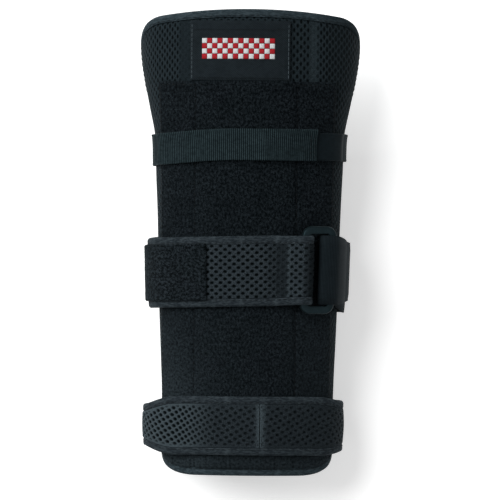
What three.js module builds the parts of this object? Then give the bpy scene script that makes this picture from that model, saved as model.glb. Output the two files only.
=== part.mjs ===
// A long bowling glove of the wrist-support kind: a padded mesh shell curved round the back of
// the hand and forearm, a panel of loop pile over it, and three straps that close it below.
// It lies on its straps with the back of the hand up. X runs across the arm, Y along it from
// the hand end to the forearm end, and Z up. Lengths are in millimetres.
import * as THREE from "three";

// The shell as a whole
const supportLength = 280; // hand end to forearm end
const forearmWidth = 133; // across the flared forearm end
const handDepth = 56; // floor to the back of the hand, at the hand end
const forearmDepth = 76; // floor to the back of the arm, at the forearm end
const sheetHalfGirth = 112; // widest half of the shell's sheet, measured round the arm
const shoulderRadius = 24; // round from the back to the side
const crownAngle = Math.PI / 6; // the back's own slope where the shoulder starts
const heelShare = 0.8; // share of the height under the shoulder that the lower round takes
const wall = 4; // padded mesh
const clearance = 0.4; // between pieces that touch

// The corners of the shell's flat sheet
const handCorner = { start: 33, rise: 66 }; // distance from the middle line, and along the arm
const forearmCorner = { start: 56, rise: 24 };
const forearmBow = 5.6; // how far the forearm edge falls from its middle to its corners
const handCurve = 110; // length of the sheet over which its rows straighten, at the hand end
const forearmCurve = 80; // and at the forearm end

// Binding round the shell
const bindingCloth = 0.9;
const bindingReach = 4.8; // how far the binding laps over the edge

// Loop panel and its pocket seams
const bareTop = 43.6; // from the panel to the forearm end
const panel = { left: -56.8, right: 53.2, top: supportLength - bareTop, pile: 1.8, pocketRise: 0.6 };
const seams = { left: -32.8, right: 28.4, depth: 0.7, halfGroove: 2 };
const panelTop = clearance + panel.pile + panel.pocketRise; // height of the pile over the shell

// Label patch
const labelMargin = { panel: 1.1, end: 7.4 }; // from the panel, and from the forearm end
const label = {
  left: -36,
  right: 23.6,
  bottom: panel.top + labelMargin.panel,
  top: supportLength - labelMargin.end,
  thickness: 1,
};

// Bound mesh, as both wide straps are made. The shell's underside clears its thickness.
const boundStrap = 3;
const floorGap = boundStrap + 1.5 * clearance;
const strapCloth = 0.5; // binding of the straps
const strapEase = 0.5; // between a strap's mesh and its binding
const ringEase = 0.6; // between ring and strap

// Forearm strap: ribbed webbing over a narrower smooth tape
const webbing = { centre: 0.711 * supportLength, width: 19, thickness: 1.3, end: 38.8 };
const webbingDrop = { depth: 3.2, start: 8, end: 66 }; // how it slants towards the hand on the left
const tape = { centre: 0.707 * supportLength, width: 16.4, thickness: 1.2, start: 18 };

// Wrist strap, which is folded round the ring's left bar, and its pad and tail
const wrist = { centre: 0.44 * supportLength, width: 42.4, reach: 4.8, crown: 0.3, narrowing: 0.9 };
const wristSlant = { slope: 0.026, left: [66, 104], right: [42, 60] }; // its rise, and where that fades
const wristJoint = 14; // how far round from the seam at the back the strap's two ends lie
const foldInset = { start: 52.5, end: 42.5 }; // how far in from the forearm side the fold's seam lies
const fold = {
  squeeze: 0.7,
  seamStart: forearmWidth / 2 - foldInset.start,
  seamEnd: forearmWidth / 2 - foldInset.end,
};
const ringShare = 0.895; // where the ring's middle lies along the crown arc
const ring = { lift: 7.2, width: 22.6, length: 52.8, bar: 4.8, thickness: 3.2, corner: 6.5 };
const ringBevel = 0.9;
const pad = { start: -23.6, end: -98, width: 34, pile: 1.6 };
const tail = { width: 41.4, thickness: 1.6, reachRing: 56, leaveRing: 60, end: 100, loop: 3.6 };
const tailTaper = { depth: 6.4, start: 46, end: 68 }; // the outer layer narrows towards its end
const tailDroop = { depth: 4, start: 50, end: 66, backStart: 8, backEnd: 6 }; // the inner one hangs lower

// Hand strap: two lengths of mesh, slack on the left
const hand = { centre: 0.108 * supportLength, width: 35.4, reach: 4.4, crown: 1, narrowing: 9.9, seam: 7 };
const handDroop = { depth: 0.7, start: 28, end: 58 }; // how far its sides hang towards the fingers
const slack = { rise: 5, start: 30 }; // how far it stands off on the left
const gather = { start: 42, end: 64, rightShare: 0.45 }; // where it draws in to its narrower width

// Sections along the arm: place from the hand end as a share of the length, width as a share
// of the forearm width, and the sheet's half girth as a share of its widest.
const sections = [
  { along: 0, width: 0.772, girth: 0.84 },
  { along: 0.18, width: 0.783, girth: 0.895 },
  { along: 0.335, width: 0.806, girth: 0.95 },
  { along: 0.53, width: 0.829, girth: 1 },
  { along: 0.67, width: 0.85, girth: 0.98 },
  { along: 0.73, width: 0.859, girth: 0.95 },
  { along: 0.795, width: 0.912, girth: 0.9 },
  { along: 0.84, width: 0.95, girth: 0.86 },
  { along: 0.9, width: 0.986, girth: 0.82 },
  { along: 1, width: 1.003, girth: 0.77 },
];

const mix = (a, b, t) => a + (b - a) * t;

function smoothStep(from, to, value) {
  const t = Math.min(1, Math.max(0, (value - from) / (to - from)));
  return t * t * (3 - 2 * t);
}

// A column of the section table at a place along the arm, on a smooth cubic through its rows.
function tableValue(column, along) {
  const last = sections.length - 1;
  const place = Math.min(1, Math.max(0, along));
  let i = 0;
  while (i < last - 1 && place > sections[i + 1].along) i++;
  const [a, b] = [sections[i], sections[i + 1]];
  const before = sections[Math.max(0, i - 1)];
  const after = sections[Math.min(last, i + 2)];
  const span = b.along - a.along;
  const slopeA = ((b[column] - before[column]) / (b.along - before.along)) * span;
  const slopeB = ((after[column] - a[column]) / (after.along - a.along)) * span;
  const t = (place - a.along) / span;
  const [t2, t3] = [t * t, t * t * t];
  return (
    (2 * t3 - 3 * t2 + 1) * a[column] +
    (t3 - 2 * t2 + t) * slopeA +
    (3 * t2 - 2 * t3) * b[column] +
    (t3 - t2) * slopeB
  );
}

// The shell's outer face across the arm, as lines and arcs from the middle of the back: a wide
// crown arc, the shoulder, a short straight side, the lower round and a flat underside.
function sectionAt(y) {
  const along = y / supportLength;
  const halfWidth = (forearmWidth / 2) * tableValue("width", along);
  const top = mix(handDepth, forearmDepth, along);
  const [sine, cosine] = [Math.sin(crownAngle), Math.cos(crownAngle)];
  const crownRadius = (halfWidth - shoulderRadius * (1 - sine)) / sine;
  const below = top - floorGap - crownRadius * (1 - cosine) - shoulderRadius * cosine;
  const heelRadius = heelShare * below;
  const lengths = [
    crownRadius * crownAngle,
    shoulderRadius * (Math.PI / 2 - crownAngle),
    below - heelRadius,
    (heelRadius * Math.PI) / 2,
    2 * (halfWidth - heelRadius),
  ];
  return { y, halfWidth, top, crownRadius, heelRadius, lengths };
}

// Half of the way round: from the middle of the back to the middle of the underside.
function halfGirth(section) {
  const [crown, shoulder, side, heel, under] = section.lengths;
  return crown + shoulder + side + heel + under / 2;
}

// Which stretch of a section a distance round the arm falls in, and how far along it.
function locate(around, section) {
  let rest = Math.abs(around);
  let zone = 0;
  while (zone < 4 && rest > section.lengths[zone]) rest -= section.lengths[zone++];
  return { zone, share: rest / section.lengths[zone], side: around < 0 ? -1 : 1 };
}

// The point of a section at a located place, lifted off the shell's outer face.
function place({ zone, share, side }, section, lift) {
  const { halfWidth, top, crownRadius, heelRadius, lengths } = section;
  const shoulderX = halfWidth - shoulderRadius;
  const shoulderZ = top - crownRadius * (1 - Math.cos(crownAngle)) - shoulderRadius * Math.cos(crownAngle);
  let [x, z, turn] = [0, 0, 0];
  if (zone === 0) {
    turn = crownAngle * share;
    x = (crownRadius + lift) * Math.sin(turn);
    z = top - crownRadius + (crownRadius + lift) * Math.cos(turn);
  } else if (zone === 1) {
    turn = mix(crownAngle, Math.PI / 2, share);
    x = shoulderX + (shoulderRadius + lift) * Math.sin(turn);
    z = shoulderZ + (shoulderRadius + lift) * Math.cos(turn);
  } else if (zone === 2) {
    x = halfWidth + lift;
    z = shoulderZ - lengths[2] * share;
  } else if (zone === 3) {
    turn = (Math.PI / 2) * (1 + share);
    x = halfWidth - heelRadius + (heelRadius + lift) * Math.sin(turn);
    z = floorGap + heelRadius + (heelRadius + lift) * Math.cos(turn);
  } else {
    x = (halfWidth - heelRadius) * (1 - 2 * share);
    z = floorGap - lift;
  }
  return new THREE.Vector3(side * x, section.y, z);
}

const formPoint = (around, y, lift) => {
  const section = sectionAt(y);
  return place(locate(around, section), section, lift);
};

// How much longer a step round the arm gets at a lift, because the surface is curved.
function stretch(around, section, lift) {
  const radii = [section.crownRadius, shoulderRadius, Infinity, section.heelRadius, Infinity];
  return 1 + lift / radii[locate(around, section).zone];
}

// Distances round one half of a section at which every strap has a step.
function halfSteps(section) {
  const found = [...sheetSteps];
  const sideEnd = section.lengths[0] + section.lengths[1] + section.lengths[2];
  const heelSteps = 5;
  for (let i = 0; i <= heelSteps; i++) found.push(sideEnd + (section.lengths[3] * i) / heelSteps);
  found.push(halfGirth(section));
  return found.filter((step, i) => i === 0 || step - found[i - 1] > 2);
}

// The steps between two distances round a section, the two ends included.
function stepsBetween(from, to, section) {
  const half = halfSteps(section);
  const all = [...half.slice(1).map((step) => -step), ...half];
  const [low, high] = [Math.min(from, to), Math.max(from, to)];
  const nearest = 0.8; // a step this close to an end is left out
  const inside = all.filter((step) => step > low + nearest && step < high - nearest);
  const steps = [low, ...inside.sort((a, b) => a - b), high];
  return from < to ? steps : steps.reverse();
}

// Triangles turned to face outwards, as a geometry.
function solidGeometry(points, triangles) {
  let volume = 0;
  for (const [a, b, c] of triangles) {
    volume += points[a].dot(new THREE.Vector3().crossVectors(points[b], points[c]));
  }
  const facing = volume < 0 ? triangles.map(([a, b, c]) => [a, c, b]) : triangles;
  const geometry = new THREE.BufferGeometry().setFromPoints(points);
  geometry.setIndex(facing.flat());
  geometry.computeVertexNormals();
  return geometry;
}

// A solid through a row of rings that all come from profiles with the same corners.
function loft(rings, profile, closed = false) {
  const size = profile.length;
  const triangles = [];
  const joints = closed ? rings.length : rings.length - 1;
  for (let i = 0; i < joints; i++) {
    const [here, next] = [i * size, ((i + 1) % rings.length) * size];
    for (let j = 0; j < size; j++) {
      const k = (j + 1) % size;
      triangles.push([here + j, next + j, next + k], [here + j, next + k, here + k]);
    }
  }
  if (!closed) {
    const outline = profile.map(([across, out]) => new THREE.Vector2(across, out));
    const turned = THREE.ShapeUtils.area(outline) < 0;
    const cap = THREE.ShapeUtils.triangulateShape(outline, []);
    const end = (rings.length - 1) * size;
    for (const [a, b, c] of cap) {
      triangles.push(turned ? [a, c, b] : [a, b, c]);
      triangles.push(turned ? [end + a, end + b, end + c] : [end + a, end + c, end + b]);
    }
    fixCaps(triangles, cap.length * 2, size, end);
  }
  return solidGeometry(rings.flat(), triangles);
}

// Turns the two caps of a loft so that each shares its edges with the side walls the right way.
function fixCaps(triangles, count, size, end) {
  const edgesOf = ([a, b, c]) => [`${a},${b}`, `${b},${c}`, `${c},${a}`];
  const walls = new Set(triangles.slice(0, -count).flatMap(edgesOf));
  for (const first of [0, end]) {
    const within = (v) => v >= first && v < first + size;
    const caps = triangles.slice(-count).filter((triangle) => triangle.every(within));
    const clash = caps.flatMap(edgesOf).some((edge) => walls.has(edge));
    if (clash) for (const triangle of caps) triangle.reverse();
  }
}

// A closed sheet between an outer and an inner face. point(column, row, inset, lift) gives the
// faces' corners, and each rim is a further loop outside the grid's own edge.
function sheet({ columns, rows, point, inset = 0, outer, inner, rims = [] }) {
  const points = [];
  const add = (vector) => points.push(vector) - 1;
  const face = (liftAt) =>
    Array.from({ length: columns }, (_, c) =>
      Array.from({ length: rows }, (_, r) => add(point(c, r, inset, liftAt(c, r)))),
    );
  const faces = [face(outer), face(inner)];
  const border = [];
  for (let c = 0; c < columns - 1; c++) border.push([c, 0]);
  for (let r = 0; r < rows - 1; r++) border.push([columns - 1, r]);
  for (let c = columns - 1; c > 0; c--) border.push([c, rows - 1]);
  for (let r = rows - 1; r > 0; r--) border.push([0, r]);
  const loops = faces.map((grid, side) => [
    border.map(([c, r]) => grid[c][r]),
    ...rims.map((rim) => border.map(([c, r]) => add(point(c, r, rim.inset, rim.lifts[side])))),
  ]);
  const triangles = [];
  const quad = (a, b, c, d) => triangles.push([a, b, c], [a, c, d]);
  for (let c = 0; c < columns - 1; c++) {
    for (let r = 0; r < rows - 1; r++) {
      const [top, under] = faces;
      quad(top[c][r], top[c + 1][r], top[c + 1][r + 1], top[c][r + 1]);
      quad(under[c][r], under[c][r + 1], under[c + 1][r + 1], under[c + 1][r]);
    }
  }
  border.forEach((_, k) => {
    const next = (k + 1) % border.length;
    const [top, under] = loops;
    for (let i = 0; i < rims.length; i++) {
      quad(top[i][next], top[i][k], top[i + 1][k], top[i + 1][next]);
      quad(under[i][k], under[i][next], under[i + 1][next], under[i + 1][k]);
    }
    const last = rims.length;
    quad(top[last][next], top[last][k], under[last][k], under[last][next]);
  });
  return solidGeometry(points, triangles);
}

// The flat sheet that the shell is cut from

const stepShares = [0, 0.094, 0.1875, 0.277, 0.339, 0.393, 0.446, 0.491, 0.554, 0.616];
const sheetSteps = stepShares.map((share) => share * sheetHalfGirth);
const edgeSteps = [0.22, 0.44, 0.66, 0.86, 1];
const knee = sheetSteps[sheetSteps.length - 1]; // past this the columns spread to the edge
const rowShares = [0, 0.057, 0.121, 0.2, 0.286, 0.364, 0.443, 0.521, 0.607, 0.671, 0.714, 0.757, 0.8];
const endShares = [0.85, 0.9, 0.95, 1];
const sheetRows = [...rowShares, ...endShares].map((share) => share * supportLength);
const sheetColumns = [...sheetSteps, ...edgeSteps.map((share) => knee + share)];

// How far the sheet's edge is drawn in at a distance round the arm, on a quarter ellipse.
function cornerDepth(corner, reach, around, inset) {
  const span = reach - corner.start - inset;
  const share = Math.min(1, Math.max(0, (Math.abs(around) - corner.start) / span));
  return (corner.rise - inset) * (1 - Math.sqrt(1 - share * share));
}

// Half of the sheet's width at a place along the arm.
const sheetReach = (y) => sheetHalfGirth * tableValue("girth", y / supportLength);

// A point of the flat sheet: distance round the arm and along it. The rows bend towards the
// rounded corners near both ends.
const handRise = (around, row, inset) =>
  Math.max(0, 1 - row / handCurve) * (inset + cornerDepth(handCorner, sheetReach(0), around, inset));

function forearmFall(around, row, inset) {
  const bow = forearmBow * (around / knee) ** 2;
  const depth = cornerDepth(forearmCorner, sheetReach(supportLength), around, inset);
  return Math.max(0, 1 - (supportLength - row) / forearmCurve) * (inset + bow + depth);
}

function sheetPoint(around, row, inset) {
  return { around, y: row + handRise(around, row, inset) - forearmFall(around, row, inset) };
}

// The same, by column number: 0 is the far left column of the sheet.
function sheetCorner(column, row, inset) {
  const half = sheetColumns.length - 1;
  const side = column < half ? -1 : 1;
  const step = Math.abs(column - half);
  const reach = sheetReach(sheetRows[row]) - inset;
  const around = step < sheetSteps.length ? sheetSteps[step] : mix(knee, reach, sheetColumns[step] - knee);
  return sheetPoint(side * around, sheetRows[row], inset);
}

const shellPoint = (column, row, inset, lift) => {
  const { around, y } = sheetCorner(column, row, inset);
  return formPoint(around, y, lift);
};

// Shell, binding, panel and label

function supportShell() {
  const squeezed = bindingCloth + clearance; // room for the binding on each face
  const rim = { lifts: [-squeezed, -wall + squeezed] };
  return sheet({
    columns: 2 * sheetColumns.length - 1,
    rows: sheetRows.length,
    point: shellPoint,
    inset: bindingReach + 2,
    outer: () => 0,
    inner: () => -wall,
    rims: [
      { ...rim, inset: bindingReach + 2 * clearance },
      { ...rim, inset: bindingCloth + clearance },
    ],
  });
}

function shellBinding() {
  const columns = 2 * sheetColumns.length - 1;
  const rows = sheetRows.length;
  const border = [];
  for (let c = 0; c < columns - 1; c++) border.push([c, 0]);
  for (let r = 0; r < rows - 1; r++) border.push([columns - 1, r]);
  for (let c = columns - 1; c > 0; c--) border.push([c, rows - 1]);
  for (let r = rows - 1; r > 0; r--) border.push([0, r]);
  const roll = 0.9; // how far the binding's outer corners are taken off
  const profile = [
    [bindingReach, 0],
    [roll, 0],
    [0, -roll],
    [0, -wall + roll],
    [roll, -wall],
    [bindingReach, -wall],
    [bindingReach, -wall + bindingCloth],
    [bindingCloth, -wall + bindingCloth],
    [bindingCloth, -bindingCloth],
    [bindingReach, -bindingCloth],
  ];
  const rings = border.map(([c, r]) => profile.map(([inset, lift]) => shellPoint(c, r, inset, lift)));
  return loft(rings, profile, true);
}

function loopPanel() {
  const across = [-seams.halfGroove, 0, seams.halfGroove];
  const grooves = [seams.left, seams.right].flatMap((seam) => across.map((off) => seam + off));
  const steps = [...sheetSteps.map((step) => -step), ...sheetSteps.slice(1)];
  const apart = 1; // no step closer than this to a groove or an edge
  const fixed = [panel.left, ...grooves, panel.right];
  const free = (step) => fixed.every((place) => Math.abs(step - place) > apart);
  const inside = steps.filter((step) => step > panel.left && step < panel.right && free(step));
  const around = [...fixed, ...inside].sort((a, b) => a - b);
  const rows = [...sheetRows.filter((row) => row < panel.top - 3), panel.top];
  const bottom = bindingReach + clearance;
  const middle = (seams.left + seams.right) / 2;
  const half = (seams.right - seams.left) / 2;
  const top = (c) => {
    const from = Math.abs(around[c] - middle);
    const groove = around[c] === seams.left || around[c] === seams.right ? seams.depth : 0;
    const pocket = from < half ? panel.pocketRise * (1 - (from / half) ** 4) : 0;
    const edge = around[c] === panel.left || around[c] === panel.right ? panel.pile / 2 : 0;
    return clearance + panel.pile + pocket - groove - edge;
  };
  return sheet({
    columns: around.length,
    rows: rows.length,
    point: (c, r, _, lift) => formPoint(around[c], rows[r] + handRise(around[c], rows[r], bottom), lift),
    outer: top,
    inner: () => clearance,
  });
}

function labelPatch() {
  const steps = [-sheetSteps[3], -sheetSteps[2], -sheetSteps[1], 0, sheetSteps[1]];
  const columns = [label.left, ...steps, label.right];
  const rows = [0, 1 / 3, 2 / 3, 1].map((share) => mix(label.bottom, label.top, share));
  return sheet({
    columns: columns.length,
    rows: rows.length,
    point: (c, r, _, lift) => formPoint(columns[c], rows[r], lift),
    outer: () => clearance + label.thickness,
    inner: () => clearance,
  });
}

// Straps

// A strap's solid. path lists its centreline as distance round the arm, lift off the shell and
// squeeze; profile(step) gives its section there as place along the arm and offset outwards, and
// shift(around) moves that section along the arm.
function strapSolid(path, centre, profile, closed = false, shift = () => 0) {
  const middle = sectionAt(centre);
  const last = path.length - 1;
  const near = (i) => (closed ? path[(i + path.length) % path.length] : path[Math.min(last, Math.max(0, i))]);
  const rings = path.map((point, i) => {
    const [before, after] = [near(i - 1), near(i + 1)];
    const wider = stretch(point.around, middle, point.lift);
    let run = (after.around - before.around) * wider;
    const girth = 2 * halfGirth(middle);
    if (closed && Math.abs(after.around - before.around) > girth / 2) run -= Math.sign(run) * girth * wider;
    const climb = after.lift - before.lift;
    const length = Math.hypot(run, climb);
    const normal = { around: climb / length / wider, lift: -run / length };
    const moved = shift(point.around);
    return profile(point).map(([y, out]) => {
      const offset = out * point.squeeze;
      const around = point.around + normal.around * offset;
      return place(locate(around, middle), sectionAt(y + moved), point.lift + normal.lift * offset);
    });
  });
  return loft(rings, profile(path[0]), closed);
}

// Lift of a strap's centreline: over the panel, then down to the floor below. A snug strap lies
// against the shell beside the panel; the others stay at the panel's height.
function strapLift(around, centre, thickness, snug) {
  const [crown, shoulder, side, heel] = sectionAt(centre).lengths;
  const besidePanel = smoothStep(sheetSteps[7], sheetSteps[8], Math.abs(around));
  const under = snug ? mix(panelTop + clearance, 2 * clearance, besidePanel) : panelTop + clearance;
  const onPanel = under + thickness / 2;
  const onFloor = floorGap - thickness / 2;
  const sideEnd = crown + shoulder + side;
  return mix(onPanel, onFloor, smoothStep(sideEnd, sideEnd + heel, Math.abs(around)));
}

// A strap from one distance round the arm to another. rise adds to its lift and crown says how
// much of its own bulge it keeps.
function strapRun(from, to, centre, thickness, rise = () => 0, snug = false) {
  const section = sectionAt(centre);
  const sideEnd = section.lengths[0] + section.lengths[1] + section.lengths[2];
  return stepsBetween(from, to, section).map((around) => ({
    around,
    lift: strapLift(around, centre, thickness, snug) + rise(around),
    squeeze: 1,
    narrow: 0,
    crown: 1 - smoothStep(sideEnd, sideEnd + section.lengths[3], Math.abs(around)),
  }));
}

// Sections of straps, as place along the arm and offset outwards from the centreline

const flatProfile = (centre, width, thickness, shift = () => 0, taper = () => 0) => (point) => {
  const middle = centre + shift(point);
  const half = (width - taper(point)) / 2;
  return [
    [middle - half, -thickness / 2],
    [middle + half, -thickness / 2],
    [middle + half, thickness / 2],
    [middle - half, thickness / 2],
  ];
};

const meshProfile = (strap) => (point) => {
  const half = (strap.width - strap.narrowing * point.narrow) / 2;
  const full = boundStrap / 2;
  const thin = full - strapCloth - strapEase;
  const rim = half - strapCloth - strapEase;
  const step = half - strap.reach - strapEase;
  const slope = 0.8;
  const side = [
    [rim, thin],
    [step, thin],
    [step - slope, full],
  ];
  const otherSide = side.map(([y, out]) => [-y, out]).reverse();
  const top = [...side, [0, full + strap.crown * point.crown], ...otherSide];
  const under = side.map(([y, out]) => [-y, -out]).concat(side.map(([y, out]) => [y, -out]).reverse());
  return [...top, ...under].map(([y, out]) => [strap.centre + y, out]);
};

const bindingProfile = (strap, side) => (point) => {
  const half = (strap.width - strap.narrowing * point.narrow) / 2;
  const full = boundStrap / 2;
  const roll = 0.6;
  const inner = half - strap.reach;
  return [
    [inner, full],
    [half - roll, full],
    [half, full - roll],
    [half, -full + roll],
    [half - roll, -full],
    [inner, -full],
    [inner, -full + strapCloth],
    [half - strapCloth, -full + strapCloth],
    [half - strapCloth, full - strapCloth],
    [inner, full - strapCloth],
  ].map(([y, out]) => [strap.centre + side * y, out]);
};

// Forearm strap

function forearmTape() {
  const far = halfGirth(sectionAt(tape.centre));
  const path = strapRun(far, tape.start, tape.centre, tape.thickness, () => 0, true);
  return strapSolid(path, tape.centre, flatProfile(tape.centre, tape.width, tape.thickness));
}

function forearmWebbing() {
  const overTape = tape.thickness + clearance;
  const landing = 10; // length over which the webbing comes down off the tape
  const past = 8; // how far past the tape's end it has landed
  const landed = tape.start - past;
  const rise = (around) => overTape * smoothStep(landed - landing, landed, around);
  const far = -halfGirth(sectionAt(webbing.centre)) + clearance;
  const path = strapRun(webbing.end, far, webbing.centre, webbing.thickness, rise, true);
  const shift = ({ around }) => -webbingDrop.depth * smoothStep(webbingDrop.start, webbingDrop.end, -around);
  const profile = flatProfile(webbing.centre, webbing.width, webbing.thickness, shift);
  return strapSolid(path, webbing.centre, profile);
}

// The ring lies in a plane across the shoulder: its middle, and the two directions of its plane
// and its normal in the wrist section.
function ringSeat() {
  const section = sectionAt(wrist.centre);
  const turn = crownAngle * ringShare;
  const across = new THREE.Vector3(Math.cos(turn), 0, -Math.sin(turn));
  const normal = new THREE.Vector3(Math.sin(turn), 0, Math.cos(turn));
  const middle = place({ zone: 0, share: ringShare, side: 1 }, section, ring.lift);
  return { section, across, normal, middle };
}

// Distance round the arm and lift of a point of the wrist section, on the right of the back.
function unplace(point, section) {
  const { halfWidth, top, crownRadius, lengths } = section;
  const crownZ = top - crownRadius;
  const crownTurn = Math.atan2(point.x, point.z - crownZ);
  if (crownTurn <= crownAngle) {
    return { around: crownRadius * crownTurn, lift: Math.hypot(point.x, point.z - crownZ) - crownRadius };
  }
  const x = point.x - (halfWidth - shoulderRadius);
  const z = point.z - (crownZ + (crownRadius - shoulderRadius) * Math.cos(crownAngle));
  const around = lengths[0] + shoulderRadius * (Math.atan2(x, z) - crownAngle);
  return { around, lift: Math.hypot(x, z) - shoulderRadius };
}

// A strap's centreline round one bar of the ring, from below it to above it. side is -1 for the
// left bar and 1 for the right one; the strap passes through the ring's opening, and loop is how
// far it stands off the bar there.
function roundBar(side, thickness, loop = 0) {
  const { section, across, normal, middle } = ringSeat();
  const bar = middle.clone().addScaledVector(across, side * (ring.width / 2 - ring.bar / 2));
  const flatX = ring.bar / 2 - ringBevel;
  const flatZ = ring.thickness / 2 - ringBevel;
  const radius = ringBevel + ringEase + thickness / 2;
  const corner = (degrees, end) => {
    const angle = THREE.MathUtils.degToRad(degrees);
    return [flatX + (radius + loop) * Math.cos(angle), end * (flatZ + radius * Math.sin(angle))];
  };
  const above = [corner(0, 1), corner(40, 1), corner(80, 1), [-ring.bar / 2, flatZ + radius]];
  const below = above.map(([x, z]) => [x, -z]).reverse();
  return [...below, ...above].map(([x, z]) => {
    const point = bar.clone().addScaledVector(across, -side * x).addScaledVector(normal, z);
    return unplace(point, section);
  });
}

// Wrist strap

function wristShift(around) {
  const [start, end] = around < 0 ? wristSlant.left : wristSlant.right;
  return wristSlant.slope * around * (1 - smoothStep(start, end, Math.abs(around)));
}

const wristSolid = (path, profile) => strapSolid(path, wrist.centre, profile, false, wristShift);

function wristPath() {
  const squeezed = boundStrap * fold.squeeze;
  const atRing = { squeeze: fold.squeeze, narrow: 1, crown: 0 };
  const under = panelTop + clearance + squeezed / 2;
  const over = under + squeezed + clearance;
  const wrap = roundBar(-1, squeezed).map((point) => ({ ...point, ...atRing }));
  const end = -halfGirth(sectionAt(wrist.centre)) + wristJoint;
  const near = strapRun(fold.seamStart, end, wrist.centre, boundStrap);
  return [
    { around: fold.seamEnd, lift: under, ...atRing },
    ...wrap,
    { around: fold.seamEnd, lift: over, ...atRing },
    ...near,
  ];
}

const wristStrap = () => wristSolid(wristPath(), meshProfile(wrist));
const wristBinding = (side) => wristSolid(wristPath(), bindingProfile(wrist, side));

function wristPad() {
  const low = boundStrap / 2 + wrist.crown + clearance;
  const high = low + pad.pile;
  const half = pad.width / 2;
  const profile = () =>
    [
      [half, low],
      [half, high - 0.8],
      [half - 1.2, high],
      [-half + 1.2, high],
      [-half, high - 0.8],
      [-half, low],
    ].map(([y, out]) => [wrist.centre + y, out]);
  return wristSolid(strapRun(pad.start, pad.end, wrist.centre, boundStrap), profile);
}

function wristTail() {
  const { section } = ringSeat();
  const girth = halfGirth(section);
  const start = girth + wristJoint - clearance;
  const layer = tail.thickness + clearance;
  const wrap = roundBar(1, tail.thickness, tail.loop).map((point) => ({ ...point, squeeze: 1, upper: 1 }));
  const inner = strapRun(start, tail.reachRing, wrist.centre, tail.thickness);
  const outer = strapRun(tail.leaveRing, tail.end, wrist.centre, tail.thickness, () => layer);
  const path = [
    ...inner.map((point) => ({ ...point, upper: 0 })),
    ...wrap,
    ...outer.map((point) => ({ ...point, upper: 1 })),
  ];
  const sideEnd = section.lengths[0] + section.lengths[1] + section.lengths[2];
  const backStart = sideEnd + tailDroop.backStart;
  const backEnd = girth - tailDroop.backEnd;
  const hanging = (around) =>
    smoothStep(tailDroop.start, tailDroop.end, around) * (1 - smoothStep(backStart, backEnd, around));
  const droop = ({ around, upper }) => -tailDroop.depth * (1 - upper) * hanging(around);
  const drawnIn = (around) => smoothStep(tailTaper.start, tailTaper.end, around);
  const taper = ({ around, upper }) => tailTaper.depth * upper * drawnIn(around);
  const profile = flatProfile(wrist.centre, tail.width, tail.thickness, droop, taper);
  return wristSolid(path, profile);
}

function strapRing() {
  const { section, across, normal } = ringSeat();
  const outline = (width, length, corner) => {
    const [w, l] = [width / 2, length / 2];
    return new THREE.Shape()
      .moveTo(-w + corner, -l)
      .lineTo(w - corner, -l)
      .quadraticCurveTo(w, -l, w, -l + corner)
      .lineTo(w, l - corner)
      .quadraticCurveTo(w, l, w - corner, l)
      .lineTo(-w + corner, l)
      .quadraticCurveTo(-w, l, -w, l - corner)
      .lineTo(-w, -l + corner)
      .quadraticCurveTo(-w, -l, -w + corner, -l);
  };
  const shape = outline(ring.width - 2 * ringBevel, ring.length - 2 * ringBevel, ring.corner - ringBevel);
  const inside = 2 * (ring.bar - ringBevel);
  shape.holes.push(outline(ring.width - inside, ring.length - inside, 2.4));
  const geometry = new THREE.ExtrudeGeometry(shape, {
    depth: ring.thickness - 2 * ringBevel,
    bevelThickness: ringBevel,
    bevelSize: ringBevel,
    bevelSegments: 2,
    curveSegments: 4,
  });
  geometry.translate(0, 0, -ring.thickness / 2 + ringBevel);
  const reach = { zone: 0, share: ringShare, side: 1 };
  const centre = wrist.centre + wristShift(ringShare * section.lengths[0]);
  const [before, middle, after] = [-1, 0, 1].map((off) => place(reach, sectionAt(centre + off), ring.lift));
  const along = after.clone().sub(before);
  along.addScaledVector(across, -along.dot(across)).normalize();
  const facing = new THREE.Vector3().crossVectors(across, along);
  if (facing.dot(normal) < 0) facing.negate();
  geometry.applyMatrix4(new THREE.Matrix4().makeBasis(across, along, facing).setPosition(middle));
  return geometry;
}

// Hand strap

// The strap stands off the shell on its slack side, and draws in to a smaller width at both
// sides of the hand, mostly on the slack one.
function handRun(from, to) {
  const section = sectionAt(hand.centre);
  const reach = halfGirth(section) - section.lengths[4] / 2;
  const off = (around) => Math.min(1, Math.max(0, (Math.abs(around) - slack.start) / (reach - slack.start)));
  const rise = (around) => (around < 0 ? slack.rise * Math.sin(Math.PI * off(around)) ** 2 : 0);
  const gathered = (around) => smoothStep(gather.start, gather.end, Math.abs(around));
  const drawn = (around) => (around < 0 ? 1 : gather.rightShare) * gathered(around);
  const path = strapRun(from, to, hand.centre, boundStrap, rise);
  return path.map((point) => ({ ...point, narrow: drawn(point.around) }));
}

const handShift = (around) => -handDroop.depth * smoothStep(handDroop.start, handDroop.end, Math.abs(around));
const handStrapSolid = (path, profile, closed) =>
  strapSolid(path, hand.centre, profile, closed, handShift);

function handStrapLength(side) {
  const end = halfGirth(sectionAt(hand.centre)) - clearance / 2;
  const seam = hand.seam + (side * clearance) / 2;
  const path = side > 0 ? handRun(end, seam) : handRun(seam, -end);
  return handStrapSolid(path, meshProfile(hand), false);
}

function handBinding(side) {
  const end = halfGirth(sectionAt(hand.centre));
  const path = handRun(end, -end).slice(0, -1);
  return handStrapSolid(path, bindingProfile(hand, side), true);
}

// Colours and the group

const finishes = {
  mesh: { color: 0x26292b, roughness: 0.95, metalness: 0 },
  binding: { color: 0x34383a, roughness: 0.8, metalness: 0 },
  pile: { color: 0x1b1d1e, roughness: 1, metalness: 0 },
  woven: { color: 0x2b2e30, roughness: 0.85, metalness: 0 },
  smooth: { color: 0x222527, roughness: 0.75, metalness: 0 },
  plastic: { color: 0x0c0d0e, roughness: 0.25, metalness: 0 },
};

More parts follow.
